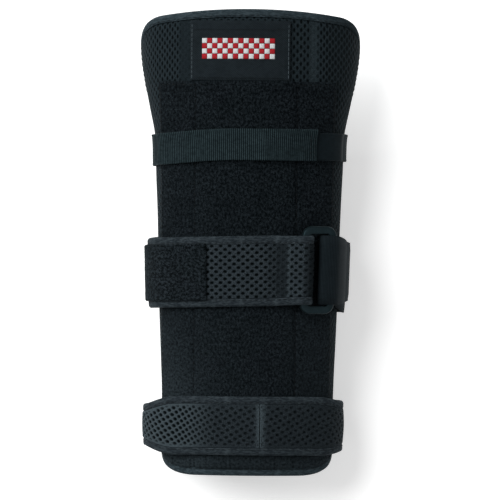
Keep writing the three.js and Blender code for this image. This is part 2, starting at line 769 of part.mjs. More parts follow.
const pieces = [
  ["support_shell", supportShell(), finishes.mesh],
  ["shell_binding", shellBinding(), finishes.binding],
  ["loop_panel", loopPanel(), finishes.pile],
  ["label_patch", labelPatch(), finishes.woven],
  ["forearm_tape", forearmTape(), finishes.smooth],
  ["forearm_webbing", forearmWebbing(), finishes.woven],
  ["wrist_strap", wristStrap(), finishes.mesh],
  ["wrist_binding_upper", wristBinding(1), finishes.binding],
  ["wrist_binding_lower", wristBinding(-1), finishes.binding],
  ["wrist_pad", wristPad(), finishes.pile],
  ["wrist_tail", wristTail(), finishes.smooth],
  ["strap_ring", strapRing(), finishes.plastic],
  ["hand_strap_left", handStrapLength(-1), finishes.mesh],
  ["hand_strap_right", handStrapLength(1), finishes.mesh],
  ["hand_binding_upper", handBinding(1), finishes.binding],
  ["hand_binding_lower", handBinding(-1), finishes.binding],
];

const glove = new THREE.Group();
for (const [name, geometry, finish] of pieces) {
  const mesh = new THREE.Mesh(geometry, new THREE.MeshStandardMaterial(finish));
  mesh.name = name;
  glove.add(mesh);
}

// The origin is under the middle of the whole.
const bounds = new THREE.Box3().setFromObject(glove);
const centre = bounds.getCenter(new THREE.Vector3());
glove.position.set(-centre.x, -centre.y, -bounds.min.z);
const group = new THREE.Group();
group.add(glove);

export default group;
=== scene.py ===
import math

import bmesh
import bpy
import numpy as np
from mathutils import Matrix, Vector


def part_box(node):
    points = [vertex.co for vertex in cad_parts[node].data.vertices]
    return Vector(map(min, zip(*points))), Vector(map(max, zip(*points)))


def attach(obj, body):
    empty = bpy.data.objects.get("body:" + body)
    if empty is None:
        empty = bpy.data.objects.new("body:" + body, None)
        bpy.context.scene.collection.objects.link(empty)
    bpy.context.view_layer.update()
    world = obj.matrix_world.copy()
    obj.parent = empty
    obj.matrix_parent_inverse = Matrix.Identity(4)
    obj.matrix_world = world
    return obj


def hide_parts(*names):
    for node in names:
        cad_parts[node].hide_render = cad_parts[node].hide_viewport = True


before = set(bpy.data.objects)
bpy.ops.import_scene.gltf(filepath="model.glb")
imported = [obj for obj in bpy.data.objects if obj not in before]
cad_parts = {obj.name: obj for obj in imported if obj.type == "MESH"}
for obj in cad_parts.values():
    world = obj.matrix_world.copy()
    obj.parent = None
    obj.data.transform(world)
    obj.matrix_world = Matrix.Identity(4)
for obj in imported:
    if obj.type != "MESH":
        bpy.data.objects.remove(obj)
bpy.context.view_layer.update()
print("frame loaded:", len(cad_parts), "nodes")

# Everything is worked out in millimetres from the middle of the hand end's floor line and goes
# into the meshes in metres. "around" is a distance round the arm from the middle of its back,
# "lift" a height over the shell's outer face.
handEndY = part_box("shell_binding")[0].y * 1000

arm = dict(
    length=280, forearmWidth=133, handDepth=56, forearmDepth=76, halfGirth=112, shoulder=24,
    crownAngle=math.pi / 6, heelShare=0.8, floorGap=3.6, wall=4, gap=0.4, knee=69,
    handCorner=(33, 66), forearmCorner=(56, 24), bow=5.6, handCurve=110, forearmCurve=80,
)
armTable = dict(
    along=[0, 0.18, 0.335, 0.53, 0.67, 0.73, 0.795, 0.84, 0.9, 1],
    width=[0.772, 0.783, 0.806, 0.829, 0.85, 0.859, 0.912, 0.95, 0.986, 1.003],
    girth=[0.84, 0.895, 0.95, 1, 0.98, 0.95, 0.9, 0.86, 0.82, 0.77],
)
shellLattice = dict(cell=(4.4, 5.05), radius=(0.8, 1.3))
strapLattice = dict(cell=(5.05, 4.4), radius=(1.05, 0.85))
holeEdge = (0.55, 1.3)  # in radii of a hole, where its slope starts and ends
holeGrowth = 0.25  # how much larger a hole is where the mesh is stretched open


# Small helpers

def mix(a, b, t):
    # a where t is 0, b where it is 1, and in proportion between
    return a + (b - a) * t


def smoothStep(low, high, value):
    # 0 up to low, 1 from high on, and the cubic S curve between
    t = np.clip((np.asarray(value, float) - low) / (high - low), 0, 1)
    return t * t * (3 - 2 * t)


def fade(rule, value):
    # a rule is (strength, low, high): its strength times the S curve from low to high
    strength, low, high = rule
    return strength * smoothStep(low, high, value)


def hump(value, middle, width):
    # the bell curve, 1 at the middle
    return np.exp(-((value - middle) / width) ** 2)


def bellRule(rule, value):
    # a rule is (height, middle, width)
    height, middle, width = rule
    return height * hump(value, middle, width)


def hashNoise(x, y, seed):
    # value noise: random heights on the whole numbers, blended smoothly between them
    xi, yi = np.floor(x).astype(np.int64), np.floor(y).astype(np.int64)
    xf, yf = x - xi, y - yi
    xf, yf = xf * xf * (3 - 2 * xf), yf * yf * (3 - 2 * yf)

    def corner(i, j):
        n = (i * 374761393 + j * 668265263 + seed * 1442695041) & 0xFFFFFFFF
        n = ((n ^ (n >> 13)) * 1274126177) & 0xFFFFFFFF
        return ((n ^ (n >> 16)) & 0xFFFF) / 65535

    low = mix(corner(xi, yi), corner(xi + 1, yi), xf)
    high = mix(corner(xi, yi + 1), corner(xi + 1, yi + 1), xf)
    return mix(low, high, yf) * 2 - 1


def surfaceNoise(x, y, sizes, seed):
    # noise of several grains, each a size in millimetres and a weight, from about -1 to 1
    total = sum(hashNoise(x / size + 17.3, y / size + 5.9, seed + k) * weight
                for k, (size, weight) in enumerate(sizes))
    return total / sum(weight for _, weight in sizes)


def holeDepth(p, q, lattice, opened=0):
    # 1 in the middle of each hole of a centred rectangular lattice and 0 on the yarn between: an S
    # curve of the distance to the nearest lattice point, in radii of a hole
    cell, radius = lattice["cell"], lattice["radius"]
    found = np.full(np.broadcast(p, q).shape, 9.0)
    for shift in (0, 0.5):
        dp = (p / cell[0] + shift + 0.5) % 1 - 0.5
        dq = (q / cell[1] + shift + 0.5) % 1 - 0.5
        found = np.minimum(found, np.hypot(dp * cell[0] / radius[0], dq * cell[1] / radius[1]))
    return 1 - smoothStep(*holeEdge, found * (1 - holeGrowth * opened))


# The arm's form: a crown arc, the shoulder, a straight side, the lower round and the underside

def armColumn(name, along):
    # smooth cubic through one column of the table
    knots, values = np.array(armTable["along"], float), np.array(armTable[name], float)
    last = len(knots) - 1
    along = np.clip(np.asarray(along, float), 0, 1)
    i = np.clip(np.searchsorted(knots, along, side="left") - 1, 0, last - 1)
    before, after = np.maximum(i - 1, 0), np.minimum(i + 2, last)
    span = knots[i + 1] - knots[i]
    slopeA = (values[i + 1] - values[before]) / (knots[i + 1] - knots[before]) * span
    slopeB = (values[after] - values[i]) / (knots[after] - knots[i]) * span
    t = (along - knots[i]) / span
    return ((2 * t**3 - 3 * t**2 + 1) * values[i] + (t**3 - 2 * t**2 + t) * slopeA
            + (3 * t**2 - 2 * t**3) * values[i + 1] + (t**3 - t**2) * slopeB)


def armSection(y):
    # the section at y: half its width, its top, the radii of its crown and heel, and the lengths of
    # its five stretches, all from the arm's named sizes by sines and cosines of the crown's angle
    along = np.asarray(y, float) / arm["length"]
    half = arm["forearmWidth"] / 2 * armColumn("width", along)
    top = mix(arm["handDepth"], arm["forearmDepth"], along)
    sine, cosine = math.sin(arm["crownAngle"]), math.cos(arm["crownAngle"])
    crown = (half - arm["shoulder"] * (1 - sine)) / sine
    below = top - arm["floorGap"] - crown * (1 - cosine) - arm["shoulder"] * cosine
    heel = arm["heelShare"] * below
    lengths = [crown * arm["crownAngle"], arm["shoulder"] * (math.pi / 2 - arm["crownAngle"]) + 0 * crown,
               below - heel, heel * math.pi / 2, 2 * (half - heel)]
    return dict(half=half, top=top, crown=crown, heel=heel, lengths=lengths)


def locate(around, section):
    # which stretch of the section a distance falls in, and its share of that stretch
    rest, zone = np.abs(around), np.zeros(np.shape(around), int)
    starts = np.cumsum([np.broadcast_to(n, np.shape(around)) for n in section["lengths"]], axis=0)
    for k in range(4):
        zone = np.where(rest > starts[k], k + 1, zone)
    start = np.choose(zone, [0 * rest, *starts[:4]])
    length = np.choose(zone, [np.broadcast_to(n, np.shape(around)) for n in section["lengths"]])
    return zone, (rest - start) / length, np.where(np.asarray(around) < 0, -1, 1)


def place(located, section, y, lift):
    # a point from its stretch, its share of it and its lift: arcs by sine and cosine about their
    # centres, the side and the underside in proportion
    zone, share, side = located
    r, angle = arm["shoulder"], arm["crownAngle"]
    half, top, crown, heel = section["half"], section["top"], section["crown"], section["heel"]
    shoulderZ = top - crown * (1 - math.cos(angle)) - r * math.cos(angle)
    crownTurn, shoulderTurn = angle * share, mix(angle, math.pi / 2, share)
    heelTurn = math.pi / 2 * (1 + share)
    floor = arm["floorGap"]
    x = [(crown + lift) * np.sin(crownTurn), half - r + (r + lift) * np.sin(shoulderTurn), half + lift,
         half - heel + (heel + lift) * np.sin(heelTurn), (half - heel) * (1 - 2 * share)]
    z = [top - crown + (crown + lift) * np.cos(crownTurn), shoulderZ + (r + lift) * np.cos(shoulderTurn),
         shoulderZ - section["lengths"][2] * share, floor + heel + (heel + lift) * np.cos(heelTurn),
         floor - lift]
    shape = np.broadcast(zone, y, lift).shape

    def pick(options):
        return np.choose(np.broadcast_to(zone, shape), [np.broadcast_to(o, shape) for o in options])

    return np.stack([side * pick(x), np.broadcast_to(y + handEndY, shape), pick(z)], -1) / 1000


def armPoint(around, y, lift):
    # a point by its own section: cloth that lies along the arm
    around, y, lift = np.broadcast_arrays(*(np.asarray(v, float) for v in (around, y, lift)))
    section = armSection(y)
    return place(locate(around, section), section, y, lift)


def strapPoint(around, centre, y, lift):
    # a point by shares of the strap's middle section: cloth that runs round the arm
    around, y, lift = np.broadcast_arrays(*(np.asarray(v, float) for v in (around, y, lift)))
    return place(locate(around, armSection(np.full(y.shape, float(centre)))), armSection(y), y, lift)


def girthOf(centre):
    # distances round the arm to the middle of the underside, the foot of the side and the heel's end
    lengths = [float(n) for n in armSection(np.array(float(centre)))["lengths"]]
    return sum(lengths[:4]) + lengths[4] / 2, sum(lengths[:3]), sum(lengths[:4])


# The shell's flat sheet, whose rows bend towards its rounded corners

def reachAt(y):
    # from the middle of the back to the sheet's edge
    return arm["halfGirth"] * armColumn("girth", np.asarray(y, float) / arm["length"])


def cornerDepth(corner, reach, around, inset):
    # a quarter ellipse, from where the corner starts to the sheet's edge
    share = np.clip((np.abs(around) - corner[0]) / (reach - corner[0] - inset), 0, 1)
    return (corner[1] - inset) * (1 - np.sqrt(1 - share**2))


def handRise(around, row, inset):
    # how far a row bends towards the forearm, less and less up to the hand curve's end
    depth = cornerDepth(arm["handCorner"], reachAt(0), around, inset)
    return np.maximum(0, 1 - row / arm["handCurve"]) * (inset + depth)


def forearmFall(around, row, inset):
    # how far a row bends towards the hand: a parabola's bow and the corner, fading likewise
    bow = arm["bow"] * (around / arm["knee"]) ** 2
    depth = cornerDepth(arm["forearmCorner"], reachAt(arm["length"]), around, inset)
    return np.maximum(0, 1 - (arm["length"] - row) / arm["forearmCurve"]) * (inset + bow + depth)


def sheetPlace(across, row, inset):
    # across runs from -1 to 1: fixed distances to the knee, then spread to the sheet's edge
    turn = arm["knee"] / arm["halfGirth"]
    reach = reachAt(row) - inset
    outer = np.clip((np.abs(across) - turn) / (1 - turn), 0, 1)
    around = np.sign(across) * np.where(np.abs(across) < turn, np.abs(across) * arm["halfGirth"],
                                        mix(arm["knee"], reach, outer))
    return around, row + handRise(around, row, inset) - forearmFall(around, row, inset)


# Meshes from arrays

uvMillimetres = 100  # so much cloth for one unit of the uv map


def makeMesh(name, points, quads, weave, materials, triangles=(), slots=None, values=None):
    # points in metres, faces as rows of point numbers, each point's place on its flat cloth in
    # millimetres, and under each key of values one number for every point
    points = np.asarray(points, float).reshape(-1, 3)
    quads = np.asarray(quads, np.int32).reshape(-1, 4)
    triangles = np.asarray(triangles, np.int32).reshape(-1, 3)
    corners = np.concatenate([quads.ravel(), triangles.ravel()])
    totals = np.concatenate([np.full(len(quads), 4), np.full(len(triangles), 3)]).astype(np.int32)
    mesh = bpy.data.meshes.new(name)
    mesh.vertices.add(len(points))
    mesh.vertices.foreach_set("co", points.astype(np.float32).ravel())
    mesh.loops.add(len(corners))
    mesh.loops.foreach_set("vertex_index", corners)
    mesh.polygons.add(len(totals))
    mesh.polygons.foreach_set("loop_start", np.concatenate([[0], np.cumsum(totals)[:-1]]).astype(np.int32))
    mesh.polygons.foreach_set("loop_total", totals)
    mesh.polygons.foreach_set("use_smooth", np.ones(len(totals), bool))
    mesh.update(calc_edges=True)
    for key, column in (values or {}).items():
        attribute = mesh.attributes.new(key, "FLOAT", "POINT")
        attribute.data.foreach_set("value", np.asarray(column, np.float32).ravel())
    uv = np.asarray(weave, float).reshape(-1, 2)[corners] / uvMillimetres
    mesh.uv_layers.new(name="weave").data.foreach_set("uv", uv.astype(np.float32).ravel())
    for material in materials:
        mesh.materials.append(material)
    if slots is not None:
        mesh.polygons.foreach_set("material_index", np.asarray(slots, np.int32))
    piece = bpy.data.objects.new(name, mesh)
    bpy.context.scene.collection.objects.link(piece)
    return piece


def faceOut(piece):
    # turns every face of a closed piece outward
    work = bmesh.new()
    work.from_mesh(piece.data)
    bmesh.ops.recalc_face_normals(work, faces=work.faces)
    work.to_mesh(piece.data)
    work.free()
    return piece


def gridQuads(rows, columns, closedRows=False, closedColumns=False, first=0):
    # the faces of a grid whose points are numbered row by row from first
    r = np.arange(rows if closedRows else rows - 1)[:, None]
    c = np.arange(columns if closedColumns else columns - 1)[None, :]
    r2, c2 = (r + 1) % rows, (c + 1) % columns
    corners = [r * columns + c, r2 * columns + c, r2 * columns + c2, r * columns + c2]
    return first + np.stack(corners, -1).reshape(-1, 4)


def borderOf(rows, columns):
    # point numbers round the edge of a grid, once
    top = np.arange(columns - 1)
    right = np.arange(rows - 1) * columns + columns - 1
    bottom = (rows - 1) * columns + np.arange(columns - 1, 0, -1)
    left = np.arange(rows - 1, 0, -1) * columns
    return np.concatenate([top, right, bottom, left])


rimCurve = ((0.14, 0.3), (0.5, 0.45), (0.86, 0.3))  # share of the way down, and share of the thickness out


def clothSheet(name, upper, under, weave, material, values=None):
    # a closed sheet: two faces on one grid, joined round the edge by a rolled rim
    rows, columns = upper.shape[:2]
    count = rows * columns
    edge = borderOf(rows, columns)
    upper, under = upper.reshape(-1, 3), under.reshape(-1, 3)
    a, b = upper[edge], under[edge]
    track = np.roll(a, 1, 0) - np.roll(a, -1, 0)
    track /= np.linalg.norm(track, axis=1, keepdims=True) + 1e-12
    out = np.cross(track, a - b)
    out /= np.linalg.norm(out, axis=1, keepdims=True) + 1e-12
    out *= np.sign(np.mean(np.sum(out * (a - upper.mean(0)), 1)))
    thick = np.linalg.norm(a - b, axis=1, keepdims=True)
    rims = [mix(a, b, down) + out * thick * share for down, share in rimCurve]
    rings = [edge, *[2 * count + k * len(edge) + np.arange(len(edge)) for k in range(3)], edge + count]
    quads = [gridQuads(rows, columns), gridQuads(rows, columns, first=count)[:, ::-1]]
    for one, two in zip(rings, rings[1:]):
        quads.append(np.stack([one, two, np.roll(two, -1), np.roll(one, -1)], 1))

    def everywhere(column):
        return np.concatenate([column, column, *[column[edge]] * 3])

    flat = everywhere(np.asarray(weave, float).reshape(-1, 2))
    columnsOf = {key: everywhere(column.ravel()) for key, column in (values or {}).items()}
    points = np.concatenate([upper, under, *rims])
    return faceOut(makeMesh(name, points, np.concatenate(quads), flat, [material], values=columnsOf))


def tube(name, rings, weave, material, closed=False, values=None):
    # a surface through rings of points (stations, points, 3); open ones get a cap at each end
    stations, size = rings.shape[:2]
    quads = gridQuads(stations, size, closedRows=closed, closedColumns=True)
    points, flat, triangles = rings.reshape(-1, 3), np.asarray(weave, float).reshape(-1, 2), ()
    if not closed:
        ends = [(0, rings[0]), ((stations - 1) * size, rings[-1])]
        points = np.concatenate([points, *[ring.mean(0)[None] for _, ring in ends]])
        flat = np.concatenate([flat, *[flat[first:first + size].mean(0)[None] for first, _ in ends]])
        values = {key: np.concatenate([column.ravel(), column[0, :1], column[-1, :1]])
                  for key, column in (values or {}).items()}
        k = np.arange(size)
        triangles = np.concatenate([
            np.stack([first + k, first + (k + 1) % size, np.full(size, stations * size + n)], 1)
            for n, (first, _) in enumerate(ends)])
    return faceOut(makeMesh(name, points, quads, flat, [material], triangles, values=values))


def finish(piece, slot, *nodes):
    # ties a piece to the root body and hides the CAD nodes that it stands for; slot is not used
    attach(piece, "root")
    if nodes:
        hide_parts(*nodes)
    return piece


# Materials: helpers

def hexColour(code):
    # an sRGB hex colour as the shader's linear light
    parts = [int(code[i:i + 2], 16) / 255 for i in (1, 3, 5)]
    return tuple(c / 12.92 if c <= 0.04045 else ((c + 0.055) / 1.055) ** 2.4 for c in parts) + (1,)


def addNode(tree, kind, *values, out=0, **settings):
    # adds a node with its settings, links or sets its inputs in order, or by the names or numbers
    # of one dictionary, and gives back an output
    node = tree.nodes.new("ShaderNode" + kind)
    for key, value in settings.items():
        setattr(node, key, value)
    inputs = values[0] if values and isinstance(values[0], dict) else dict(enumerate(values))
    for socket, value in inputs.items():
        if isinstance(value, bpy.types.NodeSocket):
            tree.links.new(value, node.inputs[socket])
        else:
            node.inputs[socket].default_value = value
    return node.outputs[out]


def product(tree, amount, *others):
    # all the amounts multiplied
    for other in others:
        amount = addNode(tree, "Math", amount, other, operation="MULTIPLY")
    return amount


def tint(tree, tone, code, *amounts):
    # the tone, moved towards a hex colour by the product of the amounts
    inputs = {0: product(tree, *amounts), 6: tone, 7: hexColour(code)}
    return addNode(tree, "Mix", inputs, out=2, data_type="RGBA")


sCurve = dict(interpolation_type="SMOOTHSTEP")


def grain(tree, vector, size, detail, stretch=(1, 1, 1), limits=None):
    # noise with grains about "size" millimetres across, longer where stretch is below 1; with
    # limits it is 0 below the lower and 1 above the upper one
    scaled = addNode(tree, "VectorMath", vector, tuple(k / size for k in stretch), operation="MULTIPLY")
    noise = addNode(tree, "TexNoise", {"Vector": scaled, "Scale": 1.0, "Detail": detail})
    return addNode(tree, "MapRange", noise, *limits, **sCurve) if limits else noise


def newMaterial(name):
    # a material with its node tree and its principled shader
    material = bpy.data.materials.new(name)
    material.use_nodes = True
    return material, material.node_tree, material.node_tree.nodes["Principled BSDF"]


def surfaceMillimetres(tree):
    # where a point lies on its flat cloth
    uv = addNode(tree, "UVMap", uv_map="weave")
    return addNode(tree, "VectorMath", uv, (uvMillimetres,) * 3, operation="MULTIPLY")


def solidMillimetres(tree):
    # where a point lies in the piece's own space
    metres = addNode(tree, "TexCoord", out="Object")
    return addNode(tree, "VectorMath", metres, (1000, 1000, 1000), operation="MULTIPLY")


def holeMask(tree, flat, lattice, opened):
    # the distance to the nearest lattice middle, in radii of a hole: 1 in a hole, 0 on the yarn
    (cellX, cellY), (radiusX, radiusY) = lattice["cell"], lattice["radius"]
    distances = []
    for shift in (0.5, 1.0):
        vector = flat
        for operation, amount in (("MULTIPLY", (1 / cellX, 1 / cellY, 0)), ("ADD", (shift, shift, 0)),
                                  ("FRACTION", (0, 0, 0)), ("SUBTRACT", (0.5, 0.5, 0)),
                                  ("MULTIPLY", (cellX / radiusX, cellY / radiusY, 0))):
            vector = addNode(tree, "VectorMath", vector, amount, operation=operation)
        distances.append(addNode(tree, "VectorMath", vector, out="Value", operation="LENGTH"))
    nearest = addNode(tree, "Math", *distances, operation="MINIMUM")
    growth = addNode(tree, "Math", opened, -holeGrowth, 1.0, operation="MULTIPLY_ADD")
    return addNode(tree, "MapRange", product(tree, nearest, growth), *holeEdge, 1.0, 0.0, **sCurve)


def addRelief(tree, shader, height, depth):
    # height from 0 to 1 stands for "depth" millimetres
    relief = addNode(tree, "Bump", {"Height": height, "Distance": depth / 1000, "Strength": 1.0})
    tree.links.new(relief, shader.inputs["Normal"])


def clothSurface(tree, shader, tone, roughness, sheen, specular):
    # dyed black yarn is matt and glints a cool blue grey
    tree.links.new(tone, shader.inputs["Base Color"])
    shader.inputs["Roughness"].default_value = roughness
    shader.inputs["Sheen Weight"].default_value = sheen
    shader.inputs["Sheen Roughness"].default_value = 0.45
    shader.inputs["Sheen Tint"].default_value = (0.6, 0.88, 1, 1)
    shader.inputs["Specular IOR Level"].default_value = specular
    shader.inputs["Specular Tint"].default_value = (0.55, 0.85, 1, 1)


# Materials: cloths, thread and the ring. The pieces' own values say where a cloth is pressed,
# dulled or darkened with painted shade, stretched open, rubbed or covered by a seam's thread

# the first colour darkens dulled cloth, and is also painted shade on the shell's right side, its binding's
# right side and the wrist strap's fold
wear = dict(dullingAndShade="#060809", stretched="#475257", sewn="#465156", rubbed="#2C3438", speck="#4A5256")


def ownValues(tree, *keys):
    # the numbers that makeMesh stored with each point, 0 where a piece has none
    return [addNode(tree, "Attribute", out="Fac", attribute_name=key) for key in keys]


def meshCloth(name, yarn, shade, hole, lattice, paled):
    # warp-knitted polyester spacer mesh: matt yarns round small open holes that show the dark inside.
    # The yarns' grain is 0.42 mm, coarser than real, so that it shows
    material, tree, shader = newMaterial(name)
    flat = surfaceMillimetres(tree)
    pressed, dullingAndShade, sewn, opened = ownValues(tree, "pressed", "dullingAndShade", "sewn", "opened")
    yarnGrain = grain(tree, flat, 0.42, 3, (1, 0.45, 1))
    filled = addNode(tree, "Math", 0.25, grain(tree, flat, 2.3, 2, limits=(0.3, 0.7)), operation="ADD")
    kept = addNode(tree, "Math", product(tree, dullingAndShade, filled), -0.9, 1.0, operation="MULTIPLY_ADD")
    free = addNode(tree, "Math", 1.0, pressed, operation="SUBTRACT")
    holes = product(tree, holeMask(tree, flat, lattice, opened), free, kept)
    tone = tint(tree, hexColour(shade), yarn, addNode(tree, "MapRange", yarnGrain, 0.3, 0.72, **sCurve))
    tone = tint(tree, tone, shade, grain(tree, flat, 7, 3, limits=(0.35, 0.75)), 0.3)
    # dulled cloth, and painted shade where the piece's values ask for it
    tone = tint(tree, tone, wear["dullingAndShade"], dullingAndShade, 0.85)
    tone = tint(tree, tone, wear["stretched"], opened, paled)
    tone = tint(tree, tone, hole, holes)
    tone = tint(tree, tone, wear["sewn"], sewn, addNode(tree, "MapRange", yarnGrain, 0.2, 0.6, **sCurve))
    clothSurface(tree, shader, tone, 0.86, 0.015, 0.07)
    height = addNode(tree, "Math", product(tree, yarnGrain, 0.35), product(tree, holes, 0.9),
                     operation="SUBTRACT")
    addRelief(tree, shader, height, 0.55)
    return material


def plainCloth(name, light, dark, grainSize, roughness, sheen, depth, stretch=(1, 1, 1), cloud=9, speck=0.0,
               spread=(0.42, 0.61)):
    # close knit or brushed pile: fine grain and clumps, faint clouding, and a few paler worn specks.
    # Loops and stitches are drawn about twice their real size, so that they show
    material, tree, shader = newMaterial(name)
    flat = surfaceMillimetres(tree)
    dullingAndShade, rubbed = ownValues(tree, "dullingAndShade", "worn")
    fine = grain(tree, flat, grainSize, 3, stretch)
    clumps = grain(tree, flat, grainSize * 2.6, 3, stretch)
    mixed = addNode(tree, "Math", product(tree, fine, 0.45), product(tree, clumps, 0.55), operation="ADD")
    tone = tint(tree, hexColour(dark), light, addNode(tree, "MapRange", mixed, *spread, **sCurve))
    tone = tint(tree, tone, dark, grain(tree, flat, cloud, 3, limits=(0.4, 0.75)), 0.35)
    # dulled cloth, and painted shade on the shell binding's right side
    tone = tint(tree, tone, wear["dullingAndShade"], dullingAndShade, 0.85)
    tone = tint(tree, tone, wear["rubbed"], rubbed, grain(tree, flat, 1.3, 4, limits=(0.25, 0.75)), 0.8)
    specks = grain(tree, solidMillimetres(tree), 1.1, 1, limits=(0.68, 0.8))
    tone = tint(tree, tone, wear["speck"], specks, speck)
    clothSurface(tree, shader, tone, roughness, sheen, 0.05)
    addRelief(tree, shader, fine, depth)
    return material


bandPerUnit = 0.314  # the wave texture's scale that gives one band for each unit


def twillCloth(name, light, dark, rib, angle, depth, roughness=0.8):
    # woven cloth: parallel ribs "rib" millimetres apart, turned from its length, with uneven slubs.
    # Only the webbing's ribs are as far apart as real ones; the finer weaves are coarser, to show
    material, tree, shader = newMaterial(name)
    flat = surfaceMillimetres(tree)
    turned = addNode(tree, "VectorRotate", {"Vector": flat, "Angle": math.radians(angle)},
                     rotation_type="Z_AXIS")
    sized = addNode(tree, "VectorMath", turned, (1 / rib,) * 3, operation="MULTIPLY")
    bands = {"Vector": sized, "Scale": bandPerUnit, "Distortion": 0.6, "Detail": 2.0, "Detail Scale": 2.0}
    wave = addNode(tree, "TexWave", bands, out="Fac", bands_direction="X")
    fine = grain(tree, flat, 0.35, 2)
    height = addNode(tree, "Math", product(tree, wave, 0.7), product(tree, fine, 0.3), operation="ADD")
    tone = tint(tree, hexColour(dark), light, addNode(tree, "MapRange", height, 0.2, 0.8, **sCurve))
    tone = tint(tree, tone, dark, grain(tree, flat, 8, 3, limits=(0.4, 0.75)), 0.3)
    tone = tint(tree, tone, dark, grain(tree, flat, 1.7, 3, (0.6, 1, 1), limits=(0.4, 0.7)), 0.45)
    clothSurface(tree, shader, tone, roughness, 0.01, 0.08)
    addRelief(tree, shader, height, depth)
    return material


def mouldedAcetal(name, light, dark, scuffed):
    # injection-moulded acetal: a soft gloss from the tool, faint clouds and fine scuffs
    material, tree, shader = newMaterial(name)
    solid = solidMillimetres(tree)
    cloud = grain(tree, solid, 6, 2)
    scuffs = grain(tree, solid, 0.8, 4, (0.25, 1, 1), limits=(0.56, 0.75))
    tone = tint(tree, hexColour(dark), light, addNode(tree, "MapRange", cloud, 0.35, 0.7, **sCurve))
    tone = tint(tree, tone, scuffed, scuffs, 0.25)
    tree.links.new(tone, shader.inputs["Base Color"])
    rough = addNode(tree, "Math", 0.36, product(tree, scuffs, 0.14), operation="ADD")
    tree.links.new(rough, shader.inputs["Roughness"])
    shader.inputs["Specular IOR Level"].default_value = 0.2
    shader.inputs["Specular Tint"].default_value = (0.5, 0.85, 1, 1)
    addRelief(tree, shader, cloud, 0.12)
    return material


def spunThread(name, light, dark):
    # two-ply polyester thread: short slanting plies along each stitch
    material, tree, shader = newMaterial(name)
    flat = surfaceMillimetres(tree)
    turned = addNode(tree, "VectorRotate", {"Vector": flat, "Angle": 0.7}, rotation_type="Z_AXIS")
    bands = {"Vector": turned, "Scale": 1.1, "Distortion": 0.3}
    plies = addNode(tree, "TexWave", bands, out="Fac", bands_direction="X")
    tree.links.new(tint(tree, hexColour(dark), light, plies), shader.inputs["Base Color"])
    shader.inputs["Roughness"].default_value = 0.7
    shader.inputs["Specular IOR Level"].default_value = 0.1
    addRelief(tree, shader, plies, 0.08)
    return material


knitted = dict(grainSize=0.55, roughness=0.8, sheen=0.02, depth=0.25, stretch=(0.35, 1, 1), cloud=14)
shellMesh = meshCloth("knitted polyester spacer mesh, shell", "#242C30", "#11171A", "#030404",
                      shellLattice, 0.05)
strapMesh = meshCloth("knitted polyester spacer mesh, straps", "#333A3F", "#171C1F", "#020303",
                      strapLattice, 0.55)
edgeBinding = plainCloth("folded knitted nylon binding, wide", "#364045", "#20282C", **knitted)
bindingCloth = plainCloth("folded knitted nylon binding", "#32393D", "#1B2024", **knitted)
loopPile = plainCloth("brushed nylon loop pile", "#20262A", "#020304", grainSize=0.5, roughness=0.95,
                      sheen=0.01, depth=0.5, stretch=(1, 0.7, 1), cloud=12, speck=0.12, spread=(0.38, 0.7))
padPile = plainCloth("brushed nylon loop pile, pad", "#21272B", "#050708", grainSize=0.6, roughness=0.95,
                     sheen=0.015, depth=0.5, speck=0.1)
twill = twillCloth("polyester twill", "#23292D", "#0B0E10", rib=0.8, angle=38, depth=0.12)
ribbedWebbing = twillCloth("ribbed polyester webbing", "#293538", "#05080A", rib=1.15, angle=0, depth=0.25)
closeTape = twillCloth("close woven nylon tape", "#151D21", "#080C0E", rib=0.6, angle=90, depth=0.08,
                       roughness=0.7)
smoothTape = twillCloth("close woven nylon tape, tail", "#191F23", "#0C1012", rib=0.7, angle=0, depth=0.1,
                        roughness=0.72)
acetal = mouldedAcetal("moulded acetal, polished", "#141D20", "#0E1517", "#222C30")
thread = spunThread("spun polyester thread", "#23292D", "#0F1315")
darkThread = spunThread("spun polyester thread, black", "#14191C", "#07090A")
paleThread = spunThread("spun polyester thread, grey", "#525E64", "#2A3236")
redThread = spunThread("embroidery thread, red", "#B3222B", "#7C141B")
whiteThread = spunThread("embroidery thread, white", "#E4E6E6", "#A9AEB0")
print("materials made:", len(bpy.data.materials))


# Shell: one sheet of spacer mesh, its edge squeezed flat inside the binding

shell = dict(
    columns=133, rows=(8, 272, 133), endRows=[0, 1.8, 3.4, 4.6, 6], inset=1.3, squeeze=1.3, rim=(4.6, 6.6),
    wave=0.18, grains=[(26, 1), (11, 0.5)], bands=((-43.4, -36.8), (36.2, 41)), bandEdge=0.7,
    bandStart=(235, 237), bandSink=0.4,
    skewFrom=40, leftSkew=(-0.275, 0.18), rightSkew=(0.117, 0.096), spreadFrom=250, spread=(0.06, 36, 41),
    rightShade=(0.3, 42, 54), rightOpen=(1.35, 41, 50), leftOpen=(0.3, -43, -50),
    bandDull=0.34, bandPress=0.72, bandSewn=0.12,
)


